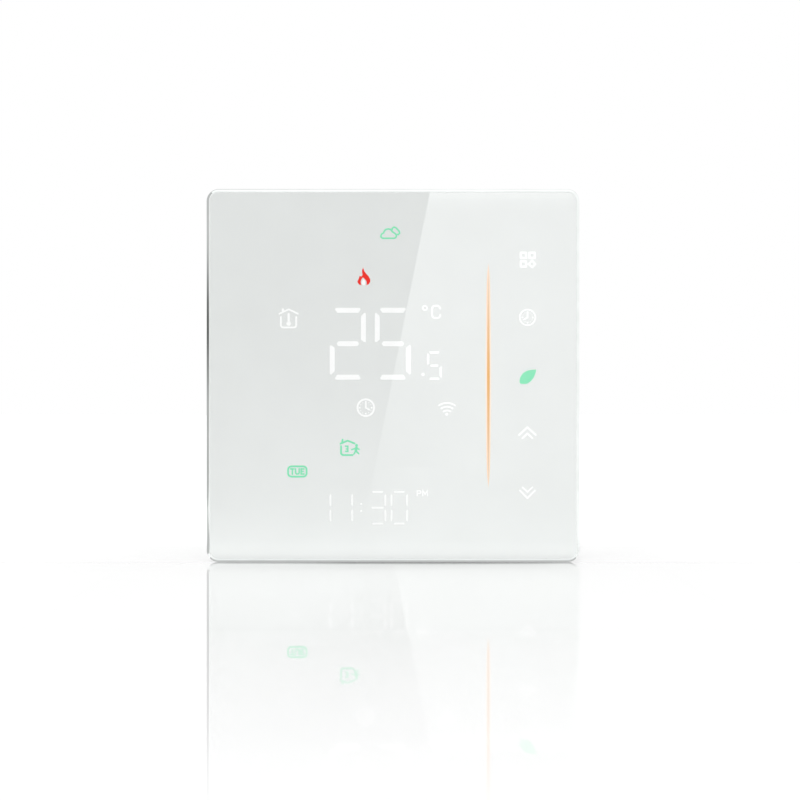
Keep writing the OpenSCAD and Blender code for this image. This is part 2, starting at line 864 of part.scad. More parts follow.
module terminal_bars() {
    leg_front_y = -0.8;
    color("#d9d2b8") for (i = [0:TERMINALS - 1]) translate([terminal_x(i), 0, 0]) {
        block([-bar_w / 2, bar_front_y, -18.7], [bar_w / 2, bar_back_y, bar_leg_z + bar_leg_t / 2]);
        translate([0, 0, bar_leg_z]) {
            block([-bar_w / 2, leg_front_y, -bar_leg_t / 2], [bar_w / 2, bar_front_y + eps, bar_leg_t / 2]);
        }
    }
}

module terminal_screw(i) {
    slot_w = 0.7;
    head_back_y = screw_head_front_y + screw_head_t;
    color("#b6b9bd") translate([terminal_x(i), 0, terminal_z]) difference() {
        union() {
            rod(0, 0, terminal_screw_r, bar_back_y + gap, screw_head_front_y);
            rod(0, 0, screw_head_r, screw_head_front_y, head_back_y - 0.4);
            rod(0, 0, screw_head_r, head_back_y - 0.4, head_back_y, screw_head_r - 0.4);
        }
        block([-screw_head_r, head_back_y - 0.9, -slot_w / 2], [screw_head_r, head_back_y + eps, slot_w / 2]);
        block([-slot_w / 2, head_back_y - 0.9, -1.5], [slot_w / 2, head_back_y + eps, 1.5]);
    }
}

module terminal_clamp(i) {
    half_w = clamp_w / 2;
    floor_back_y = clamp_front_y + clamp_floor_t;
    clamp_back_y = floor_back_y + clamp_inner_h + clamp_head_t;
    color("#c8c2a4") translate([terminal_x(i), 0, terminal_z]) difference() {
        block([-half_w, clamp_front_y, -clamp_length / 2], [half_w, clamp_back_y, clamp_length / 2]);
        block(
            [clamp_side_t - half_w, floor_back_y, -clamp_length],
            [half_w - clamp_side_t, floor_back_y + clamp_inner_h, clamp_length]
        );
        rod(0, 0, terminal_screw_r + eps, floor_back_y, clamp_back_y + eps);
    }
}

// ---------- Relay ----------

// Moves the relay's own frame to its place on the power board
module in_relay() {
    translate([relay_x, power_back_y, relay_z]) children();
}

module relay_base() {
    half_w = relay_w / 2 - gap;
    color("#2b4a8c") in_relay() block([gap, 0, -half_w], [relay_l - gap, relay_base_h, half_w]);
}

module relay_cover() {
    half_w = relay_w / 2;
    color("#3b66b8") in_relay() difference() {
        block([-relay_wall, 0, -half_w - relay_wall], [relay_l + relay_wall, relay_h, half_w + relay_wall]);
        block([0, -eps, -half_w], [relay_l, relay_h - relay_wall, half_w]);
    }
}

module relay_yoke() {
    color("#a7abb0") in_relay() difference() {
        union() {
            block([2, relay_base_h, -4], [13, relay_base_h + 1.2, 4]);
            block([2, relay_base_h, -4], [3.2, armature_low - gap, 4]);
        }
        rod(core_x, 0, core_r - 0.6, relay_base_h - eps, relay_base_h + 2);
    }
}

module relay_core() {
    color("#8f9398") in_relay() {
        rod(core_x, 0, core_r - 0.6, relay_base_h, relay_base_h + 1.2);
        rod(core_x, 0, core_r, relay_base_h + 1.2, pole_top - 0.6);
        rod(core_x, 0, pole_r, pole_top - 0.6, pole_top);
    }
}

module relay_bobbin() {
    low = relay_base_h + 1.2;
    color("#1e1f22") in_relay() difference() {
        union() {
            rod(core_x, 0, 4.8, low, low + 0.8);
            rod(core_x, 0, 2.7, low, pole_top - 0.6);
            rod(core_x, 0, 4.8, pole_top - 1.3, pole_top - 0.6);
        }
        rod(core_x, 0, core_r, low - eps, pole_top);
    }
}

module relay_winding() {
    low = relay_base_h + 2;
    color("#b5652b") in_relay() difference() {
        rod(core_x, 0, 4.5, low, pole_top - 1.3);
        rod(core_x, 0, 2.7, low - eps, pole_top);
    }
}

module relay_armature() {
    color("#a7abb0") in_relay() {
        block([armature_hinge_x - 0.4, armature_low, -3.6], [11.6, armature_low + armature_t, 3.6]);
    }
}

module relay_contact_spring() {
    top = armature_low + armature_t;
    color("#c98a4b") in_relay() {
        block([4, top, -2], [17, top + 0.2, 2]);
        rod(contact_x, 0, 1.2, top - 0.6, top + 0.8);
    }
}

module relay_fixed_contacts() {
    travel = 0.8;
    moving_low = armature_low + armature_t - 0.6;
    moving_high = armature_low + armature_t + 0.8;
    low_face = moving_low - travel;
    color("#d8b85a") in_relay() {
        rod(contact_x, 0, 1.3, low_face - 0.6, low_face);
        block([14.5, low_face - 1, -2], [17.1, low_face - 0.6, 2]);
        block([16.7, relay_base_h, -2], [17.1, low_face - 0.6, 2]);
        rod(contact_x, 0, 1.3, moving_high + eps, moving_high + 0.2);
        block([14.5, moving_high + 0.2, -2], [18.2, moving_high + 0.6, 2]);
        block([17.8, relay_base_h, -2], [18.2, moving_high + 0.6, 2]);
    }
}

// ---------- Transformer and other parts of the power board ----------

module in_transformer() {
    translate([transformer_x, 0, transformer_z]) children();
}

module transformer_core() {
    color("#3c3d40") in_transformer() difference() {
        block([-6.6, core_low_y, -core_depth / 2], [6.6, core_high_y, core_depth / 2]);
        for (s = [-1, 1]) translate([s * 3.1, (core_low_y + core_high_y) / 2, 0]) {
            cube([3, core_high_y - core_low_y - 3.2, core_depth + 1], center = true);
        }
    }
}

module transformer_bobbin() {
    low = core_low_y + 1.6 + gap;
    high = core_high_y - 1.6 - gap;
    color("#17181a") in_transformer() {
        difference() {
            union() {
                block([-2.3, low, -3.7], [2.3, high, 3.7]);
                block([-4.5, low, -6.2], [4.5, low + 0.7, 6.2]);
                block([-4.5, high - 0.7, -6.2], [4.5, high, 6.2]);
            }
            block([-1.7, low - 1, -3.1], [1.7, high + 1, 3.1]);
        }
        for (s = [-1, 1]) block([-4.5, power_back_y, s * 4.65 - 1.55], [4.5, low, s * 4.65 + 1.55]);
        block([-7, power_back_y, -6.5], [7, core_low_y - gap, 6.5]);
    }
}

module transformer_winding() {
    low = core_low_y + 2.3 + gap;
    high = core_high_y - 2.3 - gap;
    color("#e2b23a") in_transformer() slab(low, high) difference() {
        rounded_square(8.6, 12, 1.5);
        square([4.6, 7.4], center = true);
    }
}

module standing_capacitor(x, z, r, h) {
    rod(x, z, r - 0.3, power_back_y, power_back_y + 0.4);
    rod(x, z, r, power_back_y + 0.4, power_back_y + h - 0.3);
    rod(x, z, r, power_back_y + h - 0.3, power_back_y + h, r - 0.3);
}

module input_capacitor() {
    color("#24304f") standing_capacitor(17.8, -2.8, 4, 14);
}

module output_capacitor() {
    color("#24304f") standing_capacitor(16.7, 7, 3.15, 11);
}

module film_capacitor() {
    color("#d8cf3f") block([-8, power_back_y, 13.2], [5, power_back_y + 11, 18.7]);
}

module varistor() {
    color("#2c6fb0") {
        translate([-15.8, 8.2, 14]) rotate([0, 90, 0]) cylinder(h = 3.6, r = 4.5);
        for (z = [-2.5, 2.5]) rod(-14, 14 + z, 0.35, power_back_y, 6);
    }
}

module fuse() {
    color("#4b8f6a") {
        translate([7, 4.6, 14.8]) rotate([0, 90, 0]) cylinder(h = 9, r = 1.7);
        for (x = [8.2, 14.8]) rod(x, 14.8, 0.35, power_back_y, 4.6);
    }
}

// ---------- One line for each node ----------

glass_panel();
panel_tape();
display_mask();
diffuser_sheet();
segment_reflector();
light_bar_guide();
front_housing();
display_board();
white_leds();
green_leds();
red_led();
amber_leds();
touch_springs();
control_chips();
wifi_board();
wifi_shield();
header_socket();
board_screws();
temperature_sensor();
backup_battery();
mounting_plate();
wall_screws();
cover_screws();
base_cover();
rear_housing();
power_board();
header_base();
header_pins();
power_chips();
terminal_block();
terminal_bars();
for (i = [0:TERMINALS - 1]) {
    terminal_screw(i);
    terminal_clamp(i);
}
relay_base();
relay_cover();
relay_bobbin();
relay_winding();
relay_core();
relay_yoke();
relay_armature();
relay_contact_spring();
relay_fixed_contacts();
transformer_core();
transformer_bobbin();
transformer_winding();
input_capacitor();
output_capacitor();
film_capacitor();
varistor();
fuse();
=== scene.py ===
import math
import random

import bmesh
import bpy
from mathutils import Matrix, Vector

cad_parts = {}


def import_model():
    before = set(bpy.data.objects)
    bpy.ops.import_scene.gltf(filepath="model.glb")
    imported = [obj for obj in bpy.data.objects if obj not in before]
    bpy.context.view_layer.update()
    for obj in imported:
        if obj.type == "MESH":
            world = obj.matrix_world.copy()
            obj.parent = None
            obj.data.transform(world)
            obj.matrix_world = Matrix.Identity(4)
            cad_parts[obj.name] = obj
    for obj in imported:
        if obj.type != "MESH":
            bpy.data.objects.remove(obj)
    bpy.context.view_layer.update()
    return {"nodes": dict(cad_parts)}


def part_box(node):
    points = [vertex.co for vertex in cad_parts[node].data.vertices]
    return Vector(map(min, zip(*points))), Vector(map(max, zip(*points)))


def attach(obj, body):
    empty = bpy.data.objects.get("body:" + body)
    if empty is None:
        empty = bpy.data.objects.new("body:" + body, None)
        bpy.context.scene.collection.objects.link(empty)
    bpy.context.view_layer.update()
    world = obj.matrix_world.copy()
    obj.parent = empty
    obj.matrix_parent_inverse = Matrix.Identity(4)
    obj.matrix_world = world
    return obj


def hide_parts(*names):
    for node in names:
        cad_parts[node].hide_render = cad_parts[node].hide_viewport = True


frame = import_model()

# Metres throughout. +X is to the right seen from the room, +Y goes into the wall and +Z is up.
MM = 0.001
FRONT = "display_unit"
BASE = "base"

glass_low, glass_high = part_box("glass_panel")
PANEL = glass_high.x - glass_low.x
GLASS_FRONT_Y = glass_low.y
GLASS_BACK_Y = glass_high.y
FLOOR_Z = glass_low.z
BOARD_BACK_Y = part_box("display_board")[1].y

# Depths inside the glass panel's own space: the glass stops short of the film behind it, and the print
# and the lit signs lie in the gap.
GLASS_CORNER_R = 2.8 * MM
EDGE_R = 0.75 * MM
PRINT_Y = GLASS_BACK_Y - 0.03 * MM
SIGN_Y = PRINT_Y - 0.03 * MM
SLAB_BACK_Y = SIGN_Y - 0.02 * MM
SIGNS_LEFT_BY = 0.1 * MM
PRINT_WHITE = "e3e5e4"


# ---------- Colours and materials ----------

def srgb(code):
    """A linear colour from six hexadecimal digits."""
    channels = [int(code[i:i + 2], 16) / 255 for i in (0, 2, 4)]
    return [c / 12.92 if c <= 0.04045 else ((c + 0.055) / 1.055) ** 2.4 for c in channels]


def scaled(colour, factor):
    return [*(min(c * factor, 1.0) for c in colour[:3]), 1.0]


class Tree:
    """Adds nodes and links to a node tree."""

    def node(self, kind, **settings):
        made = self.tree.nodes.new("ShaderNode" + kind)
        for key, value in settings.items():
            setattr(made, key, value)
        return made

    def link(self, source, target):
        self.tree.links.new(source, target)

    def maths(self, operation, *values):
        """One Math node on values that are numbers or sockets."""
        made = self.node("Math", operation=operation)
        for slot, value in zip(made.inputs, values):
            if isinstance(value, (int, float)):
                slot.default_value = value
            else:
                self.link(value, slot)
        return made.outputs["Value"]

    def ranged(self, value, from_low, from_high, to_low, to_high):
        spread = self.node("MapRange")
        numbers = (from_low, from_high, to_low, to_high)
        for key, number in zip(("From Min", "From Max", "To Min", "To Max"), numbers):
            spread.inputs[key].default_value = number
        self.link(value, spread.inputs["Value"])
        return spread.outputs["Result"]

    def ramp(self, factor, stops):
        ramp = self.node("ValToRGB")
        points = ramp.color_ramp.elements
        while len(points) < len(stops):
            points.new(0.5)
        for point, (at, colour) in zip(points, stops):
            point.position = at
            point.color = [*colour[:3], 1.0]
        self.link(factor, ramp.inputs["Fac"])
        return ramp.outputs["Color"]

    def split(self, coordinates):
        apart = self.node("SeparateXYZ")
        self.link(coordinates, apart.inputs["Vector"])
        return [apart.outputs[axis] for axis in "XYZ"]

    def mixed(self, factor, first, second):
        mix = self.node("MixShader")
        for slot, source in zip(mix.inputs, (factor, first, second)):
            self.link(source, slot)
        return mix.outputs["Shader"]


class Shader(Tree):
    """A material built round its Principled node, with textures in the piece's own metres."""

    def __init__(self, name):
        self.material = bpy.data.materials.new(name)
        self.material.use_nodes = True
        self.tree = self.material.node_tree
        self.bsdf = self.tree.nodes["Principled BSDF"]
        self.place = self.node("TexCoord").outputs["Object"]

    def stretched(self, scale):
        mapping = self.node("Mapping")
        mapping.inputs["Scale"].default_value = scale
        self.link(self.place, mapping.inputs["Vector"])
        return mapping.outputs["Vector"]

    def noise(self, size, detail=3.0, place=None):
        """Noise with features about size metres across."""
        noise = self.node("TexNoise")
        noise.inputs["Scale"].default_value = 1 / size
        noise.inputs["Detail"].default_value = detail
        noise.inputs["Roughness"].default_value = 0.55
        self.link(place or self.place, noise.inputs["Vector"])
        return noise.outputs["Fac"]

    def base_colour(self, factor, *stops):
        self.link(self.ramp(factor, stops), self.bsdf.inputs["Base Color"])

    def emission_colour(self, factor, *stops):
        self.link(self.ramp(factor, stops), self.bsdf.inputs["Emission Color"])

    def roughness(self, factor, low, high):
        """Roughness from low to high over the middle of a noise."""
        self.link(self.ranged(factor, 0.3, 0.7, low, high), self.bsdf.inputs["Roughness"])

    def bump(self, height, depth, strength=0.5):
        bump = self.node("Bump")
        bump.inputs["Distance"].default_value = depth
        bump.inputs["Strength"].default_value = strength
        self.link(height, bump.inputs["Height"])
        self.link(bump.outputs["Normal"], self.bsdf.inputs["Normal"])

    def set(self, **values):
        for key, value in values.items():
            self.bsdf.inputs[key.replace("_", " ")].default_value = value


def moulded(name, code, rough, grain=0.12, depth=0.004, vary=0.03, coat=0.0):
    """Injection-moulded plastic: faint mottling, and a fine spark-eroded grain."""
    s = Shader(name)
    colour = srgb(code)
    s.base_colour(s.noise(6 * MM), (0.3, scaled(colour, 1 - vary)), (0.7, scaled(colour, 1 + vary / 3)))
    s.roughness(s.noise(0.8 * MM), rough - 0.05, rough + 0.07)
    s.bump(s.noise(grain * MM, detail=2), depth * MM)
    s.set(Coat_Weight=coat, Coat_Roughness=0.08)
    return s.material


def metal(name, code, rough, brushed=(1, 1, 1), vary=0.12):
    """Plated or drawn metal, with marks that run along the axes whose stretch is small."""
    s = Shader(name)
    colour = srgb(code)
    lines = s.noise(0.5 * MM, detail=4, place=s.stretched(brushed))
    s.base_colour(lines, (0.3, scaled(colour, 1 - vary)), (0.7, scaled(colour, 1 + vary / 2)))
    s.roughness(s.noise(2 * MM), rough - 0.08, rough + 0.12)
    s.bump(lines, 0.003 * MM, 0.35)
    s.set(Metallic=1.0)
    return s.material


def galvanised(name):
    """Hot-dipped zinc: crystal spangle a few millimetres across."""
    s = Shader(name)
    crystals = s.node("TexVoronoi")
    crystals.inputs["Scale"].default_value = 1 / (3.2 * MM)
    s.link(s.place, crystals.inputs["Vector"])
    grey = s.node("RGBToBW")
    s.link(crystals.outputs["Color"], grey.inputs["Color"])
    s.base_colour(grey.outputs["Val"], (0.2, srgb("a3a8ac")), (0.8, srgb("c9cdd0")))
    s.roughness(grey.outputs["Val"], 0.28, 0.46)
    s.bump(s.noise(0.4 * MM, detail=5), 0.004 * MM)
    s.set(Metallic=1.0)
    return s.material


def laminate(name, code, weave=0.35):
    """Circuit board: solder mask over a faint glass weave, glossy."""
    s = Shader(name)
    colour = srgb(code)
    threads = []
    for direction in "XZ":
        wave = s.node("TexWave", bands_direction=direction)
        wave.inputs["Scale"].default_value = 0.3 / (weave * MM)
        s.link(s.place, wave.inputs["Vector"])
        threads.append(wave.outputs["Fac"])
    cloth = s.maths("MULTIPLY", *threads)
    s.base_colour(cloth, (0.0, scaled(colour, 0.86)), (1.0, scaled(colour, 1.12)))
    s.roughness(s.noise(3 * MM), 0.22, 0.34)
    s.bump(cloth, 0.002 * MM, 0.3)
    s.set(Coat_Weight=0.4, Coat_Roughness=0.12)
    return s.material


def glowing(s, strength):
    """Makes a shader give light of its emission colour and nothing else."""
    s.set(Base_Color=(0.005, 0.005, 0.005, 1), Specular_IOR_Level=0.0, Emission_Strength=strength)
    return s.material


def lit(name, code, strength):
    """A lit sign: light of one colour, very slightly uneven where the diffuser is."""
    s = Shader(name)
    colour = srgb(code)
    s.emission_colour(s.noise(1.2 * MM, detail=1), (0.3, scaled(colour, 0.97)), (0.7, scaled(colour, 1.0)))
    return glowing(s, strength)


def bar_light(name, half_height):
    """The amber bar: strongest at its middle, paling to peach at both tips."""
    s = Shader(name)
    share = s.maths("DIVIDE", s.maths("ABSOLUTE", s.split(s.place)[2]), half_height)
    s.emission_colour(share, (0.0, srgb("eaaa50")), (0.45, srgb("e9b784")), (0.8, srgb("e9cab2")),
                      (1.0, srgb("ebdacd")))
    return glowing(s, 1.0)


def bar_glow(name, bar_x, half_width):
    """White print with the amber bar's light painted on it: a peach base colour and a faint emission beside
    the bar, fading away from it.
    """
    s = Shader(name)
    aside = s.maths("ABSOLUTE", s.maths("SUBTRACT", s.split(s.place)[0], bar_x))
    share = s.maths("DIVIDE", aside, half_width)
    s.base_colour(share, (0.35, srgb("f2d4b4")), (0.65, srgb("efe2d7")), (1.0, srgb(PRINT_WHITE)))
    s.emission_colour(share, (0.35, (0.10, 0.05, 0.02)), (1.0, (0.0, 0.0, 0.0)))
    s.set(Roughness=0.75, Emission_Strength=1.0)
    return s.material


def pass_light(s):
    """Lets light on its way to what lies behind go straight through, as it does through clear glass."""
    path = s.node("LightPath").outputs
    either = s.maths("MAXIMUM", path["Is Shadow Ray"], path["Is Diffuse Ray"])
    clear = s.node("BsdfTransparent").outputs["BSDF"]
    s.link(s.mixed(either, s.bsdf.outputs["BSDF"], clear), s.tree.nodes["Material Output"].inputs["Surface"])


def clear_glass(name):
    """Polished float glass."""
    s = Shader(name)
    s.roughness(s.noise(18 * MM, detail=2), 0.0, 0.012)
    s.set(Base_Color=(0.985, 0.995, 0.99, 1), Transmission_Weight=1.0, IOR=1.5)
    pass_light(s)
    return s.material


def polished_rim(name):
    """The rounded rim of the glass, which mirrors what stands beside it."""
    s = Shader(name)
    s.base_colour(s.noise(4 * MM), (0.3, srgb("eef2f0")), (0.7, srgb("f6f9f8")))
    s.roughness(s.noise(2 * MM), 0.04, 0.09)
    s.set(Metallic=1.0)
    pass_light(s)
    return s.material


def back_print(name):
    """White screen print on the back of the glass."""
    s = Shader(name)
    white = srgb(PRINT_WHITE)
    s.base_colour(s.noise(9 * MM), (0.3, scaled(white, 0.99)), (0.7, scaled(white, 1.01)))
    s.set(Roughness=0.75)
    s.bump(s.noise(0.05 * MM), 0.0005 * MM)
    return s.material


# ---------- Mesh helpers ----------

def add(name, data):
    made = bpy.data.objects.new(name, data)
    bpy.context.scene.collection.objects.link(made)
    return made


def mesh_of(bm, name):
    """The mesh of a bmesh, which is used up."""
    bmesh.ops.recalc_face_normals(bm, faces=bm.faces)
    mesh = bpy.data.meshes.new(name)
    bm.to_mesh(mesh)
    bm.free()
    return mesh


def piece(name, bm, material, body, smooth_degrees=35, materials=()):
    """Turns a bmesh into a piece of the object that rides on a body."""
    mesh = mesh_of(bm, name)
    for m in (material, *materials):
        mesh.materials.append(m)
    mesh.shade_smooth()
    mesh.set_sharp_from_angle(angle=math.radians(smooth_degrees))
    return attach(add(name, mesh), body)


def finished(made, node):
    """Hides a CAD node, in whose place a piece stands."""
    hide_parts(node)


def paint(material, *names):
    for name in names:
        data = frame["nodes"][name].data
        data.materials.clear()
        data.materials.append(material)


def edged(node, material, body, width):
    """A CAD node rebuilt with its sharp edges broken, as moulding and stamping leave them."""
    bm = bmesh.new()
    bm.from_mesh(frame["nodes"][node].data)
    bmesh.ops.remove_doubles(bm, verts=bm.verts, dist=1e-6)
    bmesh.ops.dissolve_limit(bm, angle_limit=math.radians(0.4), verts=bm.verts, edges=bm.edges)
    sharp = [e for e in bm.edges if len(e.link_faces) == 2 and e.calc_face_angle(0) > math.radians(40)]
    bmesh.ops.bevel(bm, geom=sharp, offset=width, segments=2, profile=0.5, affect="EDGES", clamp_overlap=True)
    finished(piece(node + "_finished", bm, material, body), node)


def box(bm, low, high, material_index=0, bevel=0.0):
    """An upright box between two corners, with its edges rounded by bevel."""
    low, high = Vector(low), Vector(high)
    middle = Matrix.Translation((low + high) / 2) @ Matrix.Diagonal([*(high - low), 1])
    verts = bmesh.ops.create_cube(bm, size=1, matrix=middle)["verts"]
    faces = {f for v in verts for f in v.link_faces}
    if bevel:
        edges = list({e for v in verts for e in v.link_edges})
        faces |= set(bmesh.ops.bevel(bm, geom=edges, offset=bevel, segments=2, profile=0.5,
                                     affect="EDGES", clamp_overlap=True)["faces"])
    for f in faces:
        if f.is_valid:
            f.material_index = material_index


def circle(x, z, r, steps, start=0.0, turn=2 * math.pi):
    """Points round x, z from the angle start: a closed full turn, or a part of one with both its ends."""
    count = steps if turn == 2 * math.pi else steps + 1
    angles = [start + turn * k / steps for k in range(count)]
    return [(x + r * math.cos(a), z + r * math.sin(a)) for a in angles]


def lathe(bm, x, z, profile, steps=40, material_index=0):
    """Turns a profile of (radius, y) points round the line along Y through x, z. Radius 0 closes an end."""
    rings = []
    for radius, y in profile:
        points = circle(x, z, radius, steps) if radius else [(x, z)]
        rings.append([bm.verts.new((px, y, pz)) for px, pz in points])
    for near, far in zip(rings, rings[1:]):
        for k in range(steps):
            n = (k + 1) % steps
            corners = [near[k % len(near)], near[n % len(near)], far[n % len(far)], far[k % len(far)]]
            bm.faces.new(list(dict.fromkeys(corners))).material_index = material_index


def rounded_outline(half_w, half_h, radius, steps, centre=(0, 0)):
    """Points of a rounded rectangle in X and Z, anticlockwise."""
    points = []
    for k, (sx, sz) in enumerate([(1, 1), (-1, 1), (-1, -1), (1, -1)]):
        x = centre[0] + sx * (half_w - radius)
        z = centre[1] + sz * (half_h - radius)
        points += circle(x, z, radius, steps, math.pi / 2 * k, math.pi / 2)
    return points


def tube(bm, rings, material_index=0):
    """Joins closed rings of vertices of the same count, and closes both ends."""
    for near, far in zip(rings, rings[1:]):
        for corners in zip(near, near[1:] + near[:1], far[1:] + far[:1], far):
            bm.faces.new(corners).material_index = material_index
    for end in (rings[0], rings[-1]):
        bm.faces.new(end).material_index = material_index


def skin(bm, loops, material_index=0):
    """A closed tube through closed loops of points."""
    tube(bm, [[bm.verts.new(p) for p in loop] for loop in loops], material_index)


def slab(bm, outline, y0, y1):
    """An outline in X and Z raised from y0 to y1."""
    skin(bm, [[(x, y, z) for x, z in outline] for y in (y0, y1)])


# ---------- Flat drawing in X and Z, in millimetres ----------

class Drawing:
    """Flat shapes in the plane of the front, given in millimetres, raised to a thin print by done()."""

    def __init__(self, at=(0, 0), mirror=1, size=1.0):
        self.bm = bmesh.new()
        self.at = at
        self.mirror = mirror
        self.size = size

    def move(self, x, z, size=1.0):
        self.at, self.size = (x, z), size
        return self

    def vert(self, p):
        x = self.at[0] + self.size * p[0]
        return self.bm.verts.new((self.mirror * x * MM, 0, (self.at[1] + self.size * p[1]) * MM))

    def polygon(self, points):
        self.bm.faces.new([self.vert(p) for p in points])
        return self

    def disc(self, x, z, r, steps=28):
        return self.polygon(circle(x, z, r, steps))

    def line(self, points, width, closed=False):
        """A strip of even width with mitred corners."""
        pts = [Vector(p) for p in points]
        count = len(pts)
        rails = []
        for i, p in enumerate(pts):
            before = (p - pts[i - 1]).normalized() if closed or i else None
            after = (pts[(i + 1) % count] - p).normalized() if closed or i < count - 1 else None
            before, after = before or after, after or before
            along = (before + after).normalized()
            side = Vector((-along.y, along.x))
            reach = width / 2 / max(side.dot(Vector((-before.y, before.x))), 0.35)
            rails.append((self.vert(p + side * reach), self.vert(p - side * reach)))
        for i in range(count if closed else count - 1):
            a, b = rails[i], rails[(i + 1) % count]
            self.bm.faces.new((a[0], b[0], b[1], a[1]))
        return self

    def round_line(self, points, width):
        """A strip whose two ends are round."""
        self.line(points, width)
        for end, inner in ((points[0], points[1]), (points[-1], points[-2])):
            out = math.atan2(end[1] - inner[1], end[0] - inner[0])
            self.polygon(circle(*end, width / 2, 10, out - math.pi / 2, math.pi))
        return self

    def ring(self, x, z, r, width):
        return self.line(circle(x, z, r - width / 2, 40), width, closed=True)

    def arc(self, x, z, r, width, start, end):
        start, end = math.radians(start), math.radians(end)
        return self.line(circle(x, z, r, 20, start, end - start), width)

    def frame(self, x, z, w, h, radius, width):
        outline = rounded_outline(w / 2 - width / 2, h / 2 - width / 2, radius, 8, (x, z))
        return self.line(outline, width, closed=True)

    def done(self, name, material, body, front_y, back_y):
        """Lays the drawing down between two depths, as a closed thin print."""
        for v in self.bm.verts:
            v.co.y = front_y
        grown = bmesh.ops.extrude_face_region(self.bm, geom=self.bm.faces[:])["geom"]
        for v in grown:
            if isinstance(v, bmesh.types.BMVert):
                v.co.y = back_y
        return piece(name, self.bm, material, body)


def segments(w, h, t, e, gap):
    """The seven strokes of a digit of half width w and half height h: a to f clockwise from the top, then g.

    t is the stroke, e is how far the level strokes stop short of the sides, and gap is the space at half
    height."""
    end, inner = w - e, w - t
    top = [(-end + 0.25 * t, h), (end - 0.25 * t, h), (end, h - 0.3 * t),
           (end - 0.5 * t, h - t), (-end + 0.5 * t, h - t), (-end, h - 0.3 * t)]
    side = [(w - 0.3 * t, h - 0.95 * e), (w, h - 1.15 * e), (w, gap),
            (w - 0.35 * t, gap - 0.1 * t), (inner, gap + 0.45 * t), (inner, h - 0.95 * e - 0.75 * t)]
    tip, shoulder = w - 1.33 * t, w - 1.73 * t
    middle = [(-tip, 0), (-shoulder, t / 2), (shoulder, t / 2),
              (tip, 0), (shoulder, -t / 2), (-shoulder, -t / 2)]

    def flip(points, sx, sz):
        return [(sx * x, sz * z) for x, z in points]

    return dict(a=top, b=side, c=flip(side, 1, -1), d=flip(top, 1, -1),
                e=flip(side, -1, -1), f=flip(side, -1, 1), g=middle)


STROKES = {"0": "abcdef", "1": "bc", "2": "abged", "3": "abgcd", "4": "fgbc", "5": "afgcd", "6": "afgedc"}


def digit(drawing, character, x, z, w, h, stroke, inset, gap=None):
    strokes = segments(w / 2, h / 2, stroke, inset, 0.4 * stroke if gap is None else gap)
    drawing.move(x, z)
    for key in STROKES[character]:
        drawing.polygon(strokes[key])


# ---------- The glass front ----------

def glass_front():
    """The glass slab with its rounded, polished rim, and the white print behind it."""

    def outline(inset):
        return rounded_outline(PANEL / 2 - inset, PANEL / 2 - inset, GLASS_CORNER_R - inset, 16)

    steps = 12
    chamfer = 0.12 * MM
    levels = [(0.16 * MM, SLAB_BACK_Y), (chamfer, SLAB_BACK_Y), (0.0, SLAB_BACK_Y - chamfer)]
    for k in range(steps + 1):
        a = math.pi / 2 * k / steps
        levels.append((EDGE_R * (1 - math.cos(a)), GLASS_FRONT_Y + EDGE_R * (1 - math.sin(a))))
    levels.append((EDGE_R + 0.03 * MM, GLASS_FRONT_Y))
    flat, rim = 0, 1
    bm = bmesh.new()
    skin(bm, [[(x, y, z) for x, z in outline(inset)] for inset, y in levels], rim)
    for face in bm.faces:
        if len({round(v.co.y / MM, 4) for v in face.verts}) == 1:
            face.material_index = flat
    glass = piece("glass_slab", bm, clear_glass("float_glass"), FRONT, 60, (polished_rim("polished_rim"),))
    finished(glass, "glass_panel")

    bm = bmesh.new()
    slab(bm, outline(0.15 * MM), PRINT_Y, GLASS_BACK_Y)
    piece("glass_back_print", bm, back_print("screen_print_white"), FRONT)


# ---------- Signs on the display ----------

def sign(drawing, name, material):
    """Lays a drawing on the print. All the signs sit slightly left of where they are drawn."""
    bmesh.ops.translate(drawing.bm, verts=drawing.bm.verts, vec=(-SIGNS_LEFT_BY, 0, 0))
    drawing.done(name, material, FRONT, SIGN_Y, PRINT_Y)


def temperature_signs(white):
    d = Drawing()
    digit(d, "2", -10.35, 7.35, 8.35, 16.6, 1.16, 1.18)
    digit(d, "5", 0.05, 7.35, 8.35, 16.6, 1.16, 1.18)
    digit(d, "5", 9.65, 2.3, 3.45, 6.6, 0.56, 0.5)
    d.move(0, 0).disc(7.02, 0.25, 0.44, 6)
    sign(d, "temperature_digits", white)

    d = Drawing((10.05, 14.7))
    half_w, half_h = 0.95, 1.42
    letter = rounded_outline(half_w, half_h, 0.75, 8)
    d.line([(half_w, half_h - 0.85)] + letter + [(half_w, 0.85 - half_h)], 0.42)
    d.move(7.44, 15.6).ring(0, 0, 0.66, 0.34)
    sign(d, "degree_sign", white)


def clock_signs(white):
    d = Drawing()
    for character, x in [("1", -16.15), ("1", -11.13), ("3", -3.46), ("0", 1.54)]:
        digit(d, character, x, -30.52, 4.0, 7.7, 0.42, 0.72, 0.45)
    d.move(-7.26, 0)
    for z in (-29.65, -31.25):
        d.disc(0, z, 0.26)
    sign(d, "clock_digits", white)

    d = Drawing((6.12, -27.15), size=1.08)
    d.line([(-0.42, -0.65), (-0.42, 0.52), (0.18, 0.52), (0.34, 0.34), (0.34, 0.1), (0.18, -0.06),
            (-0.32, -0.06)], 0.27)
    letter_m = [(-0.5, -0.65), (-0.5, 0.55), (0.0, -0.25), (0.5, 0.55), (0.5, -0.65)]
    d.move(7.5, -27.15, 1.08).line(letter_m, 0.27)
    sign(d, "afternoon_sign", white)


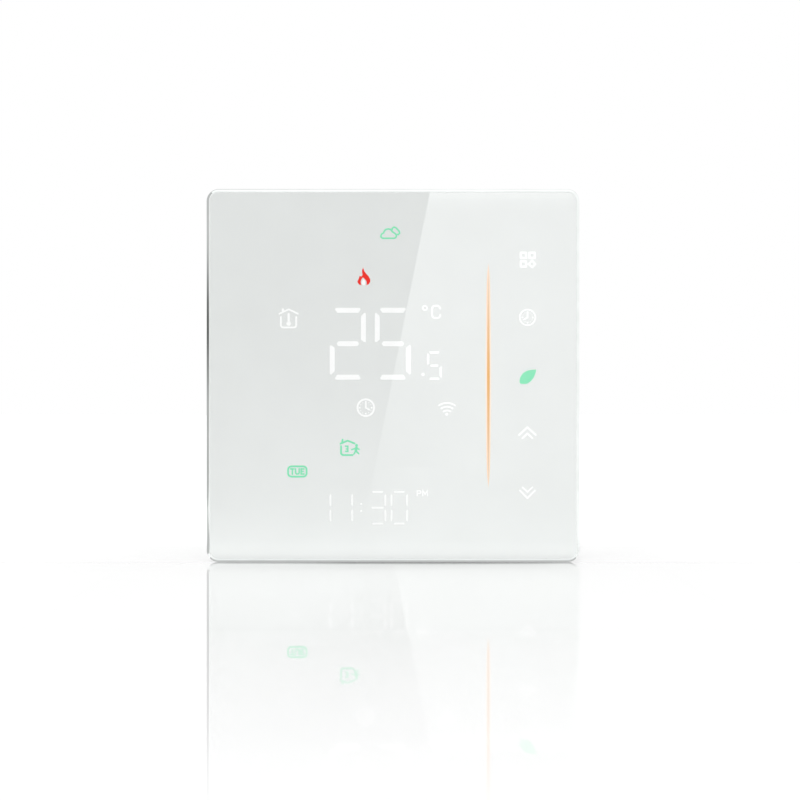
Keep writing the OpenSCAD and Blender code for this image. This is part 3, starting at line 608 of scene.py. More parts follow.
def clock_face(d, r, width, hour):
    """A round clock with dots at the hours and its minute hand at twelve."""
    d.ring(0, 0, r, width)
    for k, (x, z) in enumerate(circle(0, 0, r - 0.78, 12)):
        d.disc(x, z, 0.11 if k % 3 else 0.21, 12)
    a = math.radians(hour * 30)
    d.round_line([(0, 0), (0, r - 0.9)], 0.38)
    d.round_line([(0, 0), (0.92 * math.sin(a), 0.92 * math.cos(a))], 0.38)


def room_signs(white):
    """Lit white signs: a house with a thermometer, a clock, and signal waves."""
    d = Drawing((-24.0, 13.2))
    d.round_line([(-2.15, 1.05), (0, 2.1)], 0.38).round_line([(0, 2.1), (2.15, 1.05)], 0.38)
    d.line([(-1.8, 0.48), (-1.8, -1.6), (-1.65, -1.95), (-1.3, -2.1), (1.25, -2.1), (1.6, -1.95),
            (1.75, -1.6), (1.75, 0.48)], 0.4)
    d.round_line([(-1.3, 1.75), (-1.36, 2.05)], 0.56)
    d.round_line([(0, 0.95), (0, -1.1)], 0.54).disc(0, -1.2, 0.52)
    sign(d, "room_sensor_sign", white)

    d = Drawing((-6.2, -7.42))
    clock_face(d, 2.14, 0.43, 4)
    sign(d, "schedule_sign", white)

    d = Drawing((12.55, -9.62))
    d.disc(-0.05, 0.68, 0.33)
    for r in (1.55, 2.42, 3.3):
        d.arc(0, 0, r, 0.38, 53, 127)
    sign(d, "signal_sign", white)


def coloured_signs(green, red, white):
    """Lit green signs for weather, away and day, and the red flame."""
    d = Drawing((-0.92, 32.68))
    d.line([(-1.4, -1.0), (-1.74, -0.75), (-1.8, -0.4), (-1.6, 0.02), (-1.18, 0.24), (-0.98, 0.75),
            (-0.55, 1.1), (0.02, 1.18), (0.52, 0.98), (0.9, 0.45), (1.42, 0.16), (1.76, -0.2),
            (1.76, -0.66), (1.4, -0.98)], 0.36, closed=True)
    d.line([(0.78, 0.85), (0.84, 1.3), (1.26, 1.6), (1.74, 1.38), (2.04, 1.02), (2.44, 0.66),
            (2.5, 0.2), (2.26, -0.12), (1.9, -0.12)], 0.36)
    sign(d, "weather_sign", green)

    d = Drawing((-10.05, -16.75))
    d.round_line([(-2.0, 1.02), (-0.35, 1.72)], 0.42).round_line([(-0.35, 1.72), (1.25, 1.06)], 0.42)
    d.round_line([(-1.6, 1.35), (-1.5, 1.95)], 0.42)
    d.line([(-1.86, 0.6), (-1.86, -1.25), (-1.7, -1.5), (-1.4, -1.62), (0.95, -1.62)], 0.42)
    d.line([(-0.95, 0.42), (-0.3, 0.42), (-0.3, -0.2), (-0.78, -0.2)], 0.34)
    d.line([(-0.3, -0.1), (-0.3, -0.78), (-0.95, -0.78)], 0.34)
    d.disc(1.72, 0.62, 0.33).round_line([(1.7, 0.1), (1.55, -0.65)], 0.6)
    d.round_line([(0.62, -0.35), (1.6, -0.02)], 0.34).round_line([(1.75, 0.0), (2.3, -0.3)], 0.34)
    d.round_line([(1.5, -0.65), (1.12, -1.38)], 0.36).round_line([(1.55, -0.65), (2.2, -1.3)], 0.36)
    sign(d, "away_sign", green)

    d = Drawing((-22.0, -22.16))
    d.frame(0, 0, 4.7, 2.8, 0.8, 0.42)
    d.line([(-1.65, 0.58), (-0.65, 0.58)], 0.36).line([(-1.15, 0.5), (-1.15, -0.76)], 0.36)
    d.line([(-0.42, 0.76), (-0.42, -0.32), (-0.2, -0.58), (0.2, -0.58), (0.42, -0.32), (0.42, 0.76)], 0.34)
    d.line([(1.65, 0.58), (0.88, 0.58), (0.88, -0.58), (1.65, -0.58)], 0.36).line([(0.95, 0), (1.5, 0)], 0.32)
    sign(d, "day_sign", green)

    d = Drawing((-6.64, 22.72))
    d.polygon([(-0.17, 2.22), (0.1, 1.35), (0.55, 0.78), (1.14, 0.14), (1.48, -0.55), (1.44, -1.15),
               (1.08, -1.64), (0.52, -1.9), (0.68, -1.44), (0.56, -0.88), (0.17, -0.42), (-0.22, -0.05),
               (-0.55, -0.5), (-0.75, -1.0), (-0.7, -1.56), (-0.5, -1.88), (-0.98, -1.76), (-1.38, -1.38),
               (-1.5, -0.98), (-1.2, -0.45), (-0.98, 0.32), (-0.6, 0.1), (-0.29, 0.5), (-0.4, 1.0),
               (-0.4, 1.6)])
    sign(d, "heating_sign", red)
    d = Drawing((-6.72, 21.5))
    d.polygon([(0, 0.72), (0.32, 0.25), (0.42, -0.15), (0.3, -0.5), (0, -0.66), (-0.3, -0.5),
               (-0.42, -0.15), (-0.32, 0.25)])
    sign(d, "heating_drop_sign", white)


def key_signs(white, green):
    """The five touch keys: menu, clock, leaf, up and down."""
    d = Drawing((31.2, 26.75))
    for x, z in [(-1.0, 1.0), (1.0, 1.0), (-1.0, -1.0)]:
        d.frame(x, z, 1.72, 1.72, 0.12, 0.48)
    d.line([(0.22, -1.0), (1.0, -0.22), (1.78, -1.0), (1.0, -1.78)], 0.44, closed=True)
    sign(d, "menu_key_sign", white)

    d = Drawing((31.15, 13.42))
    clock_face(d, 1.97, 0.33, 8)
    sign(d, "clock_key_sign", white)

    d = Drawing((31.17, -0.22))
    d.polygon([(1.97, 1.6), (1.1, 1.57), (-0.1, 1.36), (-1.06, 0.78), (-1.7, -0.14), (-1.88, -1.06),
               (-1.78, -1.54), (-1.48, -1.72), (-0.16, -1.7), (0.74, -1.12), (1.4, -0.24), (1.82, 0.8)])
    sign(d, "leaf_key_sign", green)

    for name, middle, way, half in (("up_key_sign", -13.2, 1, 1.92), ("down_key_sign", -27.05, -1, 1.72)):
        d = Drawing((31.12, middle))
        d.round_line([(-half, -0.5 * way), (0, 1.25 * way)], 0.45)
        d.round_line([(0, 1.25 * way), (half, -0.5 * way)], 0.45)
        d.round_line([(-1.15, -1.25 * way), (0, -0.2 * way)], 0.42)
        d.round_line([(0, -0.2 * way), (1.15, -1.25 * way)], 0.42)
        sign(d, name, white)


def tapered_bar(x, half, full, name, material, front_y, back_y):
    """An upright strip, full wide at its middle and running out to a point at both ends."""
    steps = 24
    d = Drawing((x / MM, 0))
    right = []
    for k in range(steps + 1):
        t = -1 + 2 * k / steps
        right.append((full / MM * (1 - 0.55 * abs(t) - 0.45 * abs(t) ** 8), t * half / MM))
    d.polygon(right + [(-w, z) for w, z in reversed(right[1:-1])])
    d.done(name, material, FRONT, front_y, back_y)


def light_bar():
    """The amber light bar in the glass, and its light painted on the print beside it."""
    low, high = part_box("light_bar_guide")
    x = (low.x + high.x) / 2 - SIGNS_LEFT_BY
    half, glow = 25.9 * MM, 0.8 * MM
    amber = bar_light("amber_light", half)
    # The glow of the bar on the print beside it is painted into the print's colour and emission.
    painted_tint = bar_glow("painted_amber_glow", x, glow)
    tapered_bar(x, half, 0.3 * MM, "amber_light_bar", amber, SIGN_Y, SIGN_Y + 0.01 * MM)
    tapered_bar(x, half, glow, "amber_bar_glow", painted_tint, SIGN_Y + 0.015 * MM, PRINT_Y)


# ---------- Housings and plate ----------

def housings():
    white = moulded("white_abs", "eceeed", 0.42)
    rear_white = moulded("rear_white_abs", "e8e8e4", 0.5, 0.2, 0.008)
    green = moulded("terminal_green_pa", "2d7a45", 0.48, 0.15, 0.006)
    edged("front_housing", white, FRONT, 0.15 * MM)
    edged("base_cover", white, BASE, 0.12 * MM)
    edged("rear_housing", rear_white, BASE, 0.18 * MM)
    edged("mounting_plate", galvanised("zinc_spangle"), BASE, 0.1 * MM)
    edged("terminal_block", green, BASE, 0.1 * MM)


def thread(bm, x, z, outer, root, pitch, start, end):
    """A right-handed screw thread along +Y, with its tip run out to a point."""
    steps, per_turn = 28, 8
    rows = int((end - start) / pitch * per_turn)
    taper = 2.2 * MM
    rings = []
    for i in range(rows + 1):
        y = start + (end - start) * i / rows
        reach = min(1.0, 0.2 + 0.8 * (end - y) / taper)
        ring = []
        for k in range(steps):
            a = 2 * math.pi * k / steps
            phase = ((y - start) / pitch + k / steps) % 1.0
            crest = 1 - abs(2 * phase - 1)
            r = (root + (outer - root) * min(1.0, crest * 1.25)) * reach
            ring.append(bm.verts.new((x + r * math.cos(a), y, z + r * math.sin(a))))
        rings.append(ring)
    tube(bm, rings)


def cross_cut(obj, places, y, r, depth):
    """Sinks a tapered cross into the heads at places, from y."""
    half = 0.22 * r
    top = [(r, half), (-r, half), (-r, -half), (r, -half)]
    low = [(px * 0.55, pz * 0.7) for px, pz in top]
    bm = bmesh.new()
    for x, z in places:
        for long_x in (True, False):
            skin(bm, [[(x + (a if long_x else b), level, z + (b if long_x else a)) for a, b in outline]
                      for outline, level in ((top, y - 0.2 * MM), (top, y), (low, y + depth))])
    cutter = add("cutter", mesh_of(bm, "cutter"))
    cut = obj.modifiers.new("recess", "BOOLEAN")
    cut.object, cut.operation, cut.solver = cutter, "DIFFERENCE", "EXACT"
    cut.use_self = True
    view = bpy.context.evaluated_depsgraph_get()
    cut_mesh = bpy.data.meshes.new_from_object(obj.evaluated_get(view))
    obj.modifiers.clear()
    obj.data = cut_mesh
    bpy.data.objects.remove(cutter)


def wall_screws(steel):
    """Domed heads with a cross, and the threads that go into the wall box."""
    low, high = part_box("wall_screws")
    head_r = (high.z - low.z) / 2
    at = high.x - head_r
    seat = -1.0 * MM
    outer = 1.75 * MM
    neck, neck_end = outer - 0.3 * MM, 0.6 * MM
    profile = [(0, low.y)]
    for k in range(1, 9):
        a = math.pi / 2 * k / 8
        r = head_r * math.sin(a) ** 0.8 if k < 8 else head_r
        profile.append((r, low.y + 1.2 * MM * (1 - math.cos(a))))
    profile += [(head_r, seat - 0.15 * MM), (head_r - 0.15 * MM, seat)]
    profile += [(neck, seat), (neck, neck_end), (0, neck_end)]
    bm = bmesh.new()
    for x in (-at, at):
        lathe(bm, x, 0, profile)
    heads = piece("wall_screw_heads", bm, steel, BASE)
    cross_cut(heads, [(-at, 0), (at, 0)], low.y + 0.02 * MM, 1.75 * MM, 1.3 * MM)
    bm = bmesh.new()
    for x in (-at, at):
        thread(bm, x, 0, outer, 1.3 * MM, 0.8 * MM, 0.0, high.y)
    finished(heads, "wall_screws")
    piece("wall_screw_threads", bm, steel, BASE, 50)


# ---------- The display board, seen when the front is off ----------

# Each chip's middle x and z, width, height and thickness in millimetres, and its leads up each side and
# along each end.
CHIPS = [(-17, 12, 10, 10, 1.4, 12, 12), (17, -6, 7.5, 17.8, 2.1, 14, 0), (32, 0, 4, 10, 1.6, 8, 0)]


def leads(bm, x, z, w, h, count_x, count_z, y, material_index):
    """Gull-wing leads round a chip: count_x up each of its sides and count_z along each of its ends."""
    lead, reach, thick, shoulder = 0.32 * MM, 0.9 * MM, 0.12 * MM, 0.5 * MM
    for count, along_x in ((count_z, True), (count_x, False)):
        span = (w if along_x else h) - 1.4 * MM
        for k in range(count):
            offset = -span / 2 + span * (k + 0.5) / count
            for side in (-1, 1):
                edge = side * ((h if along_x else w) / 2)
                tip = edge + side * reach
                knee = edge + side * reach * 0.35
                for a, b, y0, y1 in ((edge - side * 0.1 * MM, knee, y + shoulder, y + shoulder + thick),
                                     (knee - side * thick, knee, y, y + shoulder),
                                     (knee, tip, y, y + thick)):
                    near, far = min(a, b), max(a, b)
                    left, right = offset - lead / 2, offset + lead / 2
                    if along_x:
                        low, high = (x + left, y0, z + near), (x + right, y1, z + far)
                    else:
                        low, high = (x + near, y0, z + left), (x + far, y1, z + right)
                    box(bm, low, high, material_index)


def chips(black, tin):
    """The packages of the three controllers, with their leads and the dot at lead one."""
    body, metal_part, dot = 0, 1, 2
    bm = bmesh.new()
    y = BOARD_BACK_Y
    for *sizes, count_x, count_z in CHIPS:
        x, z, w, h, t = (value * MM for value in sizes)
        box(bm, (x - w / 2, y + 0.1 * MM, z - h / 2), (x + w / 2, y + t, z + h / 2), body, 0.18 * MM)
        leads(bm, x, z, w, h, count_x, count_z, y, metal_part)
        top = y + t
        lathe(bm, x - w / 2 + 1.0 * MM, z + h / 2 - 1.0 * MM,
              [(0.4 * MM, top), (0.4 * MM, top + 0.01 * MM), (0, top + 0.01 * MM)], 20, dot)
    mark = moulded("chip_mark", "6d6f72", 0.6)
    finished(piece("control_chip_packages", bm, black, FRONT, 35, (tin, mark)), "control_chips")


def wifi_module(tin, gold):
    """The radio board with its edge pads and printed antenna, and its tin can, whose punched holes are
    painted dark.
    """
    low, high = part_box("wifi_board")
    bm = bmesh.new()
    box(bm, low, high, 0, 0.08 * MM)
    pads = 11
    for k in range(pads):
        x = low.x + 8.2 * MM + (high.x - low.x - 9.6 * MM) * k / (pads - 1)
        for z, side in ((low.z, 1), (high.z, -1)):
            inner = z + side * 0.7 * MM
            box(bm, (x - 0.4 * MM, low.y - 0.01 * MM, min(z, inner)),
                (x + 0.4 * MM, high.y + 0.03 * MM, max(z, inner)), 1)
    legs, pitch, half = 6, 2.2 * MM, 0.25 * MM
    x0, x1, top = low.x + 1.2 * MM, low.x + 6.6 * MM, high.y + 0.03 * MM
    for k in range(legs):
        z = low.z + 2.2 * MM + pitch * k
        box(bm, (x0, high.y, z - half), (x1, top, z + half), 1)
        if k < legs - 1:
            edge = x0 if k % 2 else x1
            box(bm, (edge - half, high.y, z - half), (edge + half, top, z + pitch), 1)
    board = piece("wifi_module_board", bm, laminate("black_mask", "15161a"), FRONT, 35, (gold,))
    finished(board, "wifi_board")

    low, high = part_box("wifi_shield")
    bm = bmesh.new()
    box(bm, low, high, 0, 0.35 * MM)
    # The punched holes are not cut: shallow dimples with dark grey discs paint what an open hole would show,
    # the dark board inside and the shade in the can.
    dip = high.y - 0.004 * MM
    across, up = 5, 4
    for i in range(across):
        for j in range(up):
            x = low.x + (high.x - low.x) * (i + 0.5) / across
            z = low.z + (high.z - low.z) * (j + 0.5) / up
            lathe(bm, x, z, [(0.55 * MM, high.y - 0.02 * MM), (0.45 * MM, dip), (0, dip)], 16, 1)
    hole = moulded("painted_can_hole", "3c3e41", 0.6)
    finished(piece("wifi_shield_can", bm, tin, FRONT, 35, (hole,)), "wifi_shield")


def coin_cell(steel):
    """The clock's backup cell: a rimmed can, its seal, and a raised plus."""
    low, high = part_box("backup_battery")
    x, z = (low.x + high.x) / 2, (low.z + high.z) / 2
    r = (high.x - low.x) / 2
    seal = [(-0.9, 0), (-0.7, 0.35)]
    can_foot = [(-0.7, 0.3), (-0.1, 0.35), (0, 0.5)]
    can_top = [(0, -0.3), (-0.25, -0.05), (-0.8, -0.02), (-1.0, -0.1)]
    bm = bmesh.new()
    lathe(bm, x, z, [(0, low.y)] + [(r + a * MM, low.y + b * MM) for a, b in seal], 56, 1)
    lathe(bm, x, z, [(r + a * MM, low.y + b * MM) for a, b in can_foot]
          + [(r + a * MM, high.y + b * MM) for a, b in can_top] + [(0, high.y - 0.1 * MM)], 56)
    for half_w, half_h in ((1.2 * MM, 0.25 * MM), (0.25 * MM, 1.2 * MM)):
        box(bm, (x - half_w, high.y - 0.12 * MM, z - half_h), (x + half_w, high.y - 0.03 * MM, z + half_h),
            0, 0.03 * MM)
    rubber = moulded("cell_seal", "2b2c2e", 0.5)
    finished(piece("backup_cell", bm, steel, FRONT, 35, (rubber,)), "backup_battery")


def clear_of(keep_out, x, z, half_w, half_h):
    return all(x + half_w < low.x or x - half_w > high.x or z + half_h < low.z or z - half_h > high.z
               for low, high in keep_out)


def flat_box(x, z, half_w, half_h):
    """The corners of a rectangle in X and Z."""
    return Vector((x - half_w, 0, z - half_h)), Vector((x + half_w, 0, z + half_h))


def kept_clear():
    """Where the display board has no small parts: round its big ones, the sensor's corner and the screws."""
    margin = 1.6
    grow = Vector((margin, 0, margin)) * MM
    areas = [(low - grow, high + grow) for low, high in
             map(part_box, ("wifi_board", "header_socket", "backup_battery", "temperature_sensor"))]
    sensor_corner = (-30.5, -33, 14, 14)
    for x, z, w, h in [chip[:4] for chip in CHIPS] + [sensor_corner]:
        areas.append(flat_box(x * MM, z * MM, (w / 2 + margin) * MM, (h / 2 + margin) * MM))
    for x in (-36.2 * MM, 36.2 * MM):
        areas += [flat_box(x, z, 3 * MM, 3 * MM) for z in (-36.2 * MM, 36.2 * MM)]
    return areas


# The lengths, widths and heights of the small parts, in millimetres.
SMALL_PARTS = [(1.6, 0.8, 0.5), (1.0, 0.5, 0.4), (2.0, 1.25, 0.75), (3.0, 1.5, 1.0)]


def board_details(tin, mask):
    """Small surface-mounted parts, their solder, tracks and vias on the back of the display board."""
    rng = random.Random(7)
    keep_out = kept_clear()
    y = BOARD_BACK_Y
    parts = bmesh.new()
    tracks = bmesh.new()
    placed = []
    while len(placed) < 110:
        x, z = rng.uniform(-37, 37) * MM, rng.uniform(-37, 37) * MM
        upright = rng.random() < 0.5
        length, width, height = rng.choice(SMALL_PARTS)
        half_w, half_h = (size / 2 * MM for size in ((width, length) if upright else (length, width)))
        if not clear_of(keep_out + placed, x, z, half_w + 0.4 * MM, half_h + 0.4 * MM):
            continue
        low, high = flat_box(x, z, half_w, half_h)
        placed.append((low.copy(), high.copy()))
        cap = 0.22 * length * MM
        body = rng.choice((0, 0, 2))
        low.y, high.y = y, y + height * MM
        axis = 2 if upright else 0
        for side in (-1, 1):
            a, b = low.copy(), high.copy()
            if side < 0:
                b[axis] = low[axis] + cap
            else:
                a[axis] = high[axis] - cap
            box(parts, a, b, 1, 0.04 * MM)
            for pad in (a, b):
                pad[axis] += side * 0.3 * MM
            a.y, b.y = y, y + 0.08 * MM
            box(parts, a, b, 1)
        inset = 0.04 * MM
        box(parts, low + Vector((inset, 0, inset)), high - Vector((inset, inset, inset)), body)
        track_end = (round(rng.uniform(-34, 34), 1) * MM, round(rng.uniform(-34, 34), 1) * MM)
        if clear_of(keep_out, *track_end, 0.5 * MM, 0.5 * MM):
            draw_track(tracks, (x, z), track_end, y)
    ceramic = moulded("smd_ceramic", "8a6a45", 0.5)
    resistor = moulded("smd_resistor", "1c1c1e", 0.4)
    piece("display_board_parts", parts, ceramic, FRONT, 35, (tin, resistor))
    piece("display_board_tracks", tracks, mask, FRONT)


def draw_track(bm, start, end, y):
    """A raised track that leaves a part straight and turns once at 45 degrees, with a via at its end."""
    half, thick = 0.1 * MM, 0.02 * MM
    start, end = Vector(start), Vector(end)
    run = min(abs(v) for v in end - start)
    knee = end - Vector([math.copysign(run, v) for v in end - start])
    for a, b in ((start, knee), (knee, end)):
        along = b - a
        if along.length < 0.2 * MM:
            continue
        side = Vector((-along.y, along.x)).normalized() * half
        slab(bm, [a + side, b + side, b - side, a - side], y, y + thick)
    rim, hole = y + 0.03 * MM, y + 0.005 * MM
    lathe(bm, *end, [(0.35 * MM, y), (0.35 * MM, rim), (0.14 * MM, rim), (0.14 * MM, hole), (0, hole)], 16)


# ---------- Rear label and terminal numbers ----------

def rear_label(ink):
    """A plain wiring label: terminal numbers and the usual circuit symbols, with no words."""
    _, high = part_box("rear_housing")
    face = high.y - 0.3 * MM
    top = face + 0.08 * MM
    bm = bmesh.new()
    slab(bm, rounded_outline(14.7 * MM, 8.7 * MM, 0.9 * MM, 8, (0, 6 * MM)), face, top)
    paper = moulded("label_film", "dfe1e2", 0.35, 0.3, 0.002)
    piece("wiring_label", bm, paper, BASE)

    d = Drawing(mirror=-1)
    d.move(0, 6).frame(0, 0, 28.2, 16.2, 0.6, 0.15)
    for k in range(6):
        x = -10.5 + 4.2 * k
        digit(d, str(k + 1), x, 0.4, 1.2, 2.0, 0.22, 0.2)
        d.move(x, 2.9).ring(0, 0, 0.75, 0.18).line([(0, 0.75), (0, 2.4)], 0.16)

    def legs(inner):
        for side in (-1, 1):
            d.line([(side * 2.1, -2.9), (side * 2.1, 0), (side * inner, 0)], 0.16)

    supply, load, switch = -8.4, 0, 8.4
    d.move(supply, 8.2).ring(0, 0, 1.6, 0.18)
    d.line([(-1.0 + 2.0 * k / 16, 0.5 * math.sin(2 * math.pi * k / 16)) for k in range(17)], 0.18)
    legs(1.6)
    for x in (load, switch):
        d.move(x, 8.2).line([(-1.5, -0.6), (1.5, -0.6), (1.5, 0.6), (-1.5, 0.6)], 0.18, closed=True)
        legs(1.5)
    d.line([(-1.9, -1.3), (-1.2, -1.3), (1.2, 1.3)], 0.16)
    d.move(load, 8.2).line([(-0.7, -0.35), (-0.35, 0.35), (0, -0.35), (0.35, 0.35), (0.7, -0.35)], 0.14)
    d.done("wiring_diagram", ink, BASE, top, top + 0.02 * MM)


def terminal_numbers(ink):
    """The numbers 1 to 6 on the terminal block, each beside its screw."""
    _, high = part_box("terminal_block")
    d = Drawing(mirror=-1)
    for k in range(6):
        screw_low, screw_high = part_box(f"terminal_screw_{k + 1}")
        x = -(screw_low.x + screw_high.x) / 2 / MM
        digit(d, str(k + 1), x, -11.8, 0.95, 1.7, 0.2, 0.16)
    d.done("terminal_numbers", ink, BASE, high.y - 0.02 * MM, high.y + 0.05 * MM)


# ---------- Stage ----------

CAMERA_LENS = 120.0
CAMERA_SENSOR = 36.0
VIEW_WIDTH = 184.3 * MM
VIEW_CENTRE = Vector((1.6, 0, -5.65)) * MM
CAMERA_DISTANCE = VIEW_WIDTH * CAMERA_LENS / CAMERA_SENSOR


def camera():
    data = bpy.data.cameras.new("camera")
    data.lens, data.sensor_width = CAMERA_LENS, CAMERA_SENSOR
    data.clip_start, data.clip_end = 0.01, 50
    made = add("camera", data)
    made.location = (VIEW_CENTRE.x, GLASS_FRONT_Y - CAMERA_DISTANCE, VIEW_CENTRE.z)
    made.rotation_euler = (math.pi / 2, 0, 0)
    bpy.context.scene.camera = made


class Stage(Tree):
    """A bare node tree for the floor, the world and the light cards, with the coordinates x, y and z."""

    def __init__(self, owner, output):
        owner.use_nodes = True
        self.tree = owner.node_tree
        self.tree.nodes.clear()
        self.out = self.node(output)
        coordinates = "Generated" if output == "OutputWorld" else "Object"
        self.x, self.y, self.z = self.split(self.node("TexCoord").outputs[coordinates])

    def curve(self, value, low, high, stops, top):
        """A brightness from 0 to top that runs through stops of (value, brightness)."""
        points = [((at - low) / (high - low), [bright / top] * 3) for at, bright in stops]
        return self.maths("MULTIPLY", self.ramp(self.ranged(value, low, high, 0, 1), points), top)

    def shown(self, shader):
        self.link(shader, self.out.inputs["Surface"])


def plane(name, corners):
    """A four-cornered piece of the stage, and the Stage of its material."""
    mesh = bpy.data.meshes.new(name)
    mesh.from_pydata(corners, [], [(0, 1, 2, 3)])
    mesh.materials.append(bpy.data.materials.new(name))
    made = add(name, mesh)
    return made, Stage(mesh.materials[0], "OutputMaterial")


def card(name, corners, brightness, veil=None):
    """A light card that only reflections see. brightness gives its strength from its own Stage.

    veil, if given, gives the socket that is 1 where the card lets everything through."""
    made, stage = plane(name, corners)
    glow = stage.node("Emission")
    stage.link(brightness(stage), glow.inputs["Strength"])
    surface = glow.outputs["Emission"]
    if veil:
        surface = stage.mixed(veil(stage), surface, stage.node("BsdfTransparent").outputs["BSDF"])
    stage.shown(surface)
    made.data.materials[0].cycles.emission_sampling = "NONE"
    made.visible_camera = made.visible_diffuse = made.visible_shadow = False
    return made


def from_below(stage):
    return stage.node("NewGeometry").outputs["Backfacing"]


def from_below_or_in_floor_mirror(stage):
    return stage.maths("MAXIMUM", from_below(stage), in_floor_mirror(stage))


def in_floor_mirror(stage):
    """The polished floor is the stage's one perfect mirror, and it shows none of the rim's cards."""
    return stage.node("LightPath").outputs["Is Singular Ray"]


# The mirrored studio's brightness by the height at which it shows on the panel, in millimetres.
DIM_SIDE = [(-41.6, 1.3), (-40.6, 1.0), (-38, 0.36), (-33.4, 0.21), (-28.8, 0.25), (-21.4, 0.42),
            (-5.7, 0.43), (4, 0.37), (43, 0.37)]
BRIGHT_SIDE = [(-41.6, 1.3), (-40.6, 1.0), (-38, 0.42), (-33.4, 0.56), (-28.8, 0.77), (-21.4, 1.08),
               (-14.9, 1.28), (-5.7, 1.41), (1.3, 1.48), (8.1, 1.56), (15, 1.69), (36, 1.69), (39.3, 1.8),
               (41.6, 2.5)]
TOP_BRIGHTNESS = 3.0
SLANT = 0.2
LOWEST_FADE = 0.57


def sided(stage, dim, bright, slanted, fade):
    """dim on one side of a slanted line, from which slanted is measured, and bright on the other.

    Right at the line a share of fade of the bright side is missing, and it comes back gradually."""
    missing = stage.maths("MULTIPLY", stage.ranged(slanted, 0, 22 * MM, 1, 0), fade)
    across = stage.ranged(slanted, -0.15 * MM, 0.25 * MM, 0, 1)
    share = stage.maths("MULTIPLY", across, stage.maths("SUBTRACT", 1.0, missing))
    return stage.maths("MULTIPLY_ADD", share, stage.maths("SUBTRACT", bright, dim), dim)


def leaning(stage, along, slope, start):
    """x, less that of a line which starts at start and leans by slope along the other axis."""
    return stage.maths("SUBTRACT", stage.maths("MULTIPLY_ADD", along, -slope, stage.x), start)


def mirrored_card():
    """The soft studio that the glass mirrors: a dim side and a bright side that meet in a slanted line.

    It is drawn at the size of the panel and scaled up from the camera's mirror image, so that its own
    coordinates are those of the panel."""
    half = 44 * MM

    def brightness(stage):
        sides = []
        for stops in (DIM_SIDE, BRIGHT_SIDE):
            placed = [(z * MM, value) for z, value in stops]
            sides.append(stage.curve(stage.z, -half, half, placed, TOP_BRIGHTNESS))
        fade = stage.ranged(stage.z, -22 * MM, 12 * MM, LOWEST_FADE, 0)
        return sided(stage, *sides, leaning(stage, stage.z, SLANT, 0), fade)

    behind = 1.4 * CAMERA_DISTANCE
    grow = (CAMERA_DISTANCE + behind) / CAMERA_DISTANCE
    corners = [(-half, 0, -half), (half, 0, -half), (half, 0, half), (-half, 0, half)]
    made = card("mirrored_studio", corners, brightness)
    made.scale = (grow, 1, grow)
    made.location = (VIEW_CENTRE.x * (1 - grow), GLASS_FRONT_Y - behind, VIEW_CENTRE.z * (1 - grow))


def floor_card():
    """The same studio where the foot of the glass mirrors the floor, with a dark strip right at the glass.

    It lies just above the floor and is seen only from above."""
    reach = 1.4 * CAMERA_DISTANCE
    under, foot = 2.2 * MM, 0.32 * MM

    def met_at(z):
        """How far from the glass the sight line that is mirrored at height z on it meets the floor."""
        return (z * MM - FLOOR_Z) * CAMERA_DISTANCE / (VIEW_CENTRE.z - z * MM)

    def brightness(stage):
        sides = []
        for stops in (DIM_SIDE, BRIGHT_SIDE):
            met = [(-met_at(z), value) for z, value in stops if z <= -21.4]
            strip = [(-13 * MM, met[0][1]), (-11 * MM, 1.1), (-foot, 1.0), (-0.7 * foot, 0.02), (under, 0.02)]
            sides.append(stage.curve(stage.y, -reach, under, met[::-1] + strip, TOP_BRIGHTNESS))
        slope = (VIEW_CENTRE.x - SLANT * VIEW_CENTRE.z) / CAMERA_DISTANCE
        return sided(stage, *sides, leaning(stage, stage.y, slope, SLANT * FLOOR_Z), LOWEST_FADE)

    near, wide = 43.2 * MM, 0.11
    corners = [(-near, under, 0), (-wide, -reach, 0), (wide, -reach, 0), (near, under, 0)]
    card("floor_studio", corners, brightness, from_below).location = (0, GLASS_FRONT_Y, FLOOR_Z + 0.01 * MM)


def floor_fill():
    """The bright patch of floor at the foot of the glass that lights the lower part of the print."""
    wide, under, end = 60 * MM, 1.5 * MM, 60 * MM
    stops = [(-end, 1.0), (-0.6 * end, 1.25), (-8 * MM, 1.25), (-5 * MM, 1.8), (-1 * MM, 1.8),
             (-0.9 * MM, 0.75), (under, 0.75)]
    made = card("floor_fill", [(-wide, under, 0), (-wide, -end, 0), (wide, -end, 0), (wide, under, 0)],
                lambda stage: stage.curve(stage.y, -end, under, stops, 2.0), from_below)
    made.location = (0, GLASS_FRONT_Y, FLOOR_Z + 0.02 * MM)
    made.visible_glossy = made.visible_transmission = False
    made.visible_diffuse = True


def rim_cards():
    """What the rounded rim mirrors: a dark flag to the left, and paler cards to the right and behind."""
    wide, near, far, low, high = 0.25, -0.4, 0.3, -0.0425, 0.3

    def side_wall(x):
        return [(x, near, low), (x, far, low), (x, far, high), (x, near, high)]

    def dark(stage):
        stops = [(-45, 0.5), (-6, 0.47), (8, 0.24), (17, 0.12), (27, 0.16), (36, 0.32), (46, 0.55)]
        return stage.curve(stage.z, -60 * MM, 60 * MM, [(z * MM, value) for z, value in stops], 1.0)

    card("left_flag", side_wall(-wide), dark, in_floor_mirror)
    card("right_card", side_wall(wide),
         lambda stage: stage.ranged(stage.z, low, high, 1.02, 1.05), in_floor_mirror)
    card("back_card", [(-wide, far, 0.06), (wide, far, 0.06), (wide, 0.08, high), (-wide, 0.08, high)],
         lambda stage: stage.ranged(stage.x, -0.05, 0.02, 0.62, 0.9), in_floor_mirror)
    corners = [(-0.26, 0.03, 0), (-0.26, -0.11, 0), (-0.061, -0.11, 0), (-0.0435, 0.03, 0)]
    foot = card("left_floor_flag", corners,
                lambda stage: stage.ranged(stage.x, -0.26, -0.05, 0.5, 0.55), from_below_or_in_floor_mirror)
    foot.location = (0, GLASS_FRONT_Y, FLOOR_Z + 0.03 * MM)


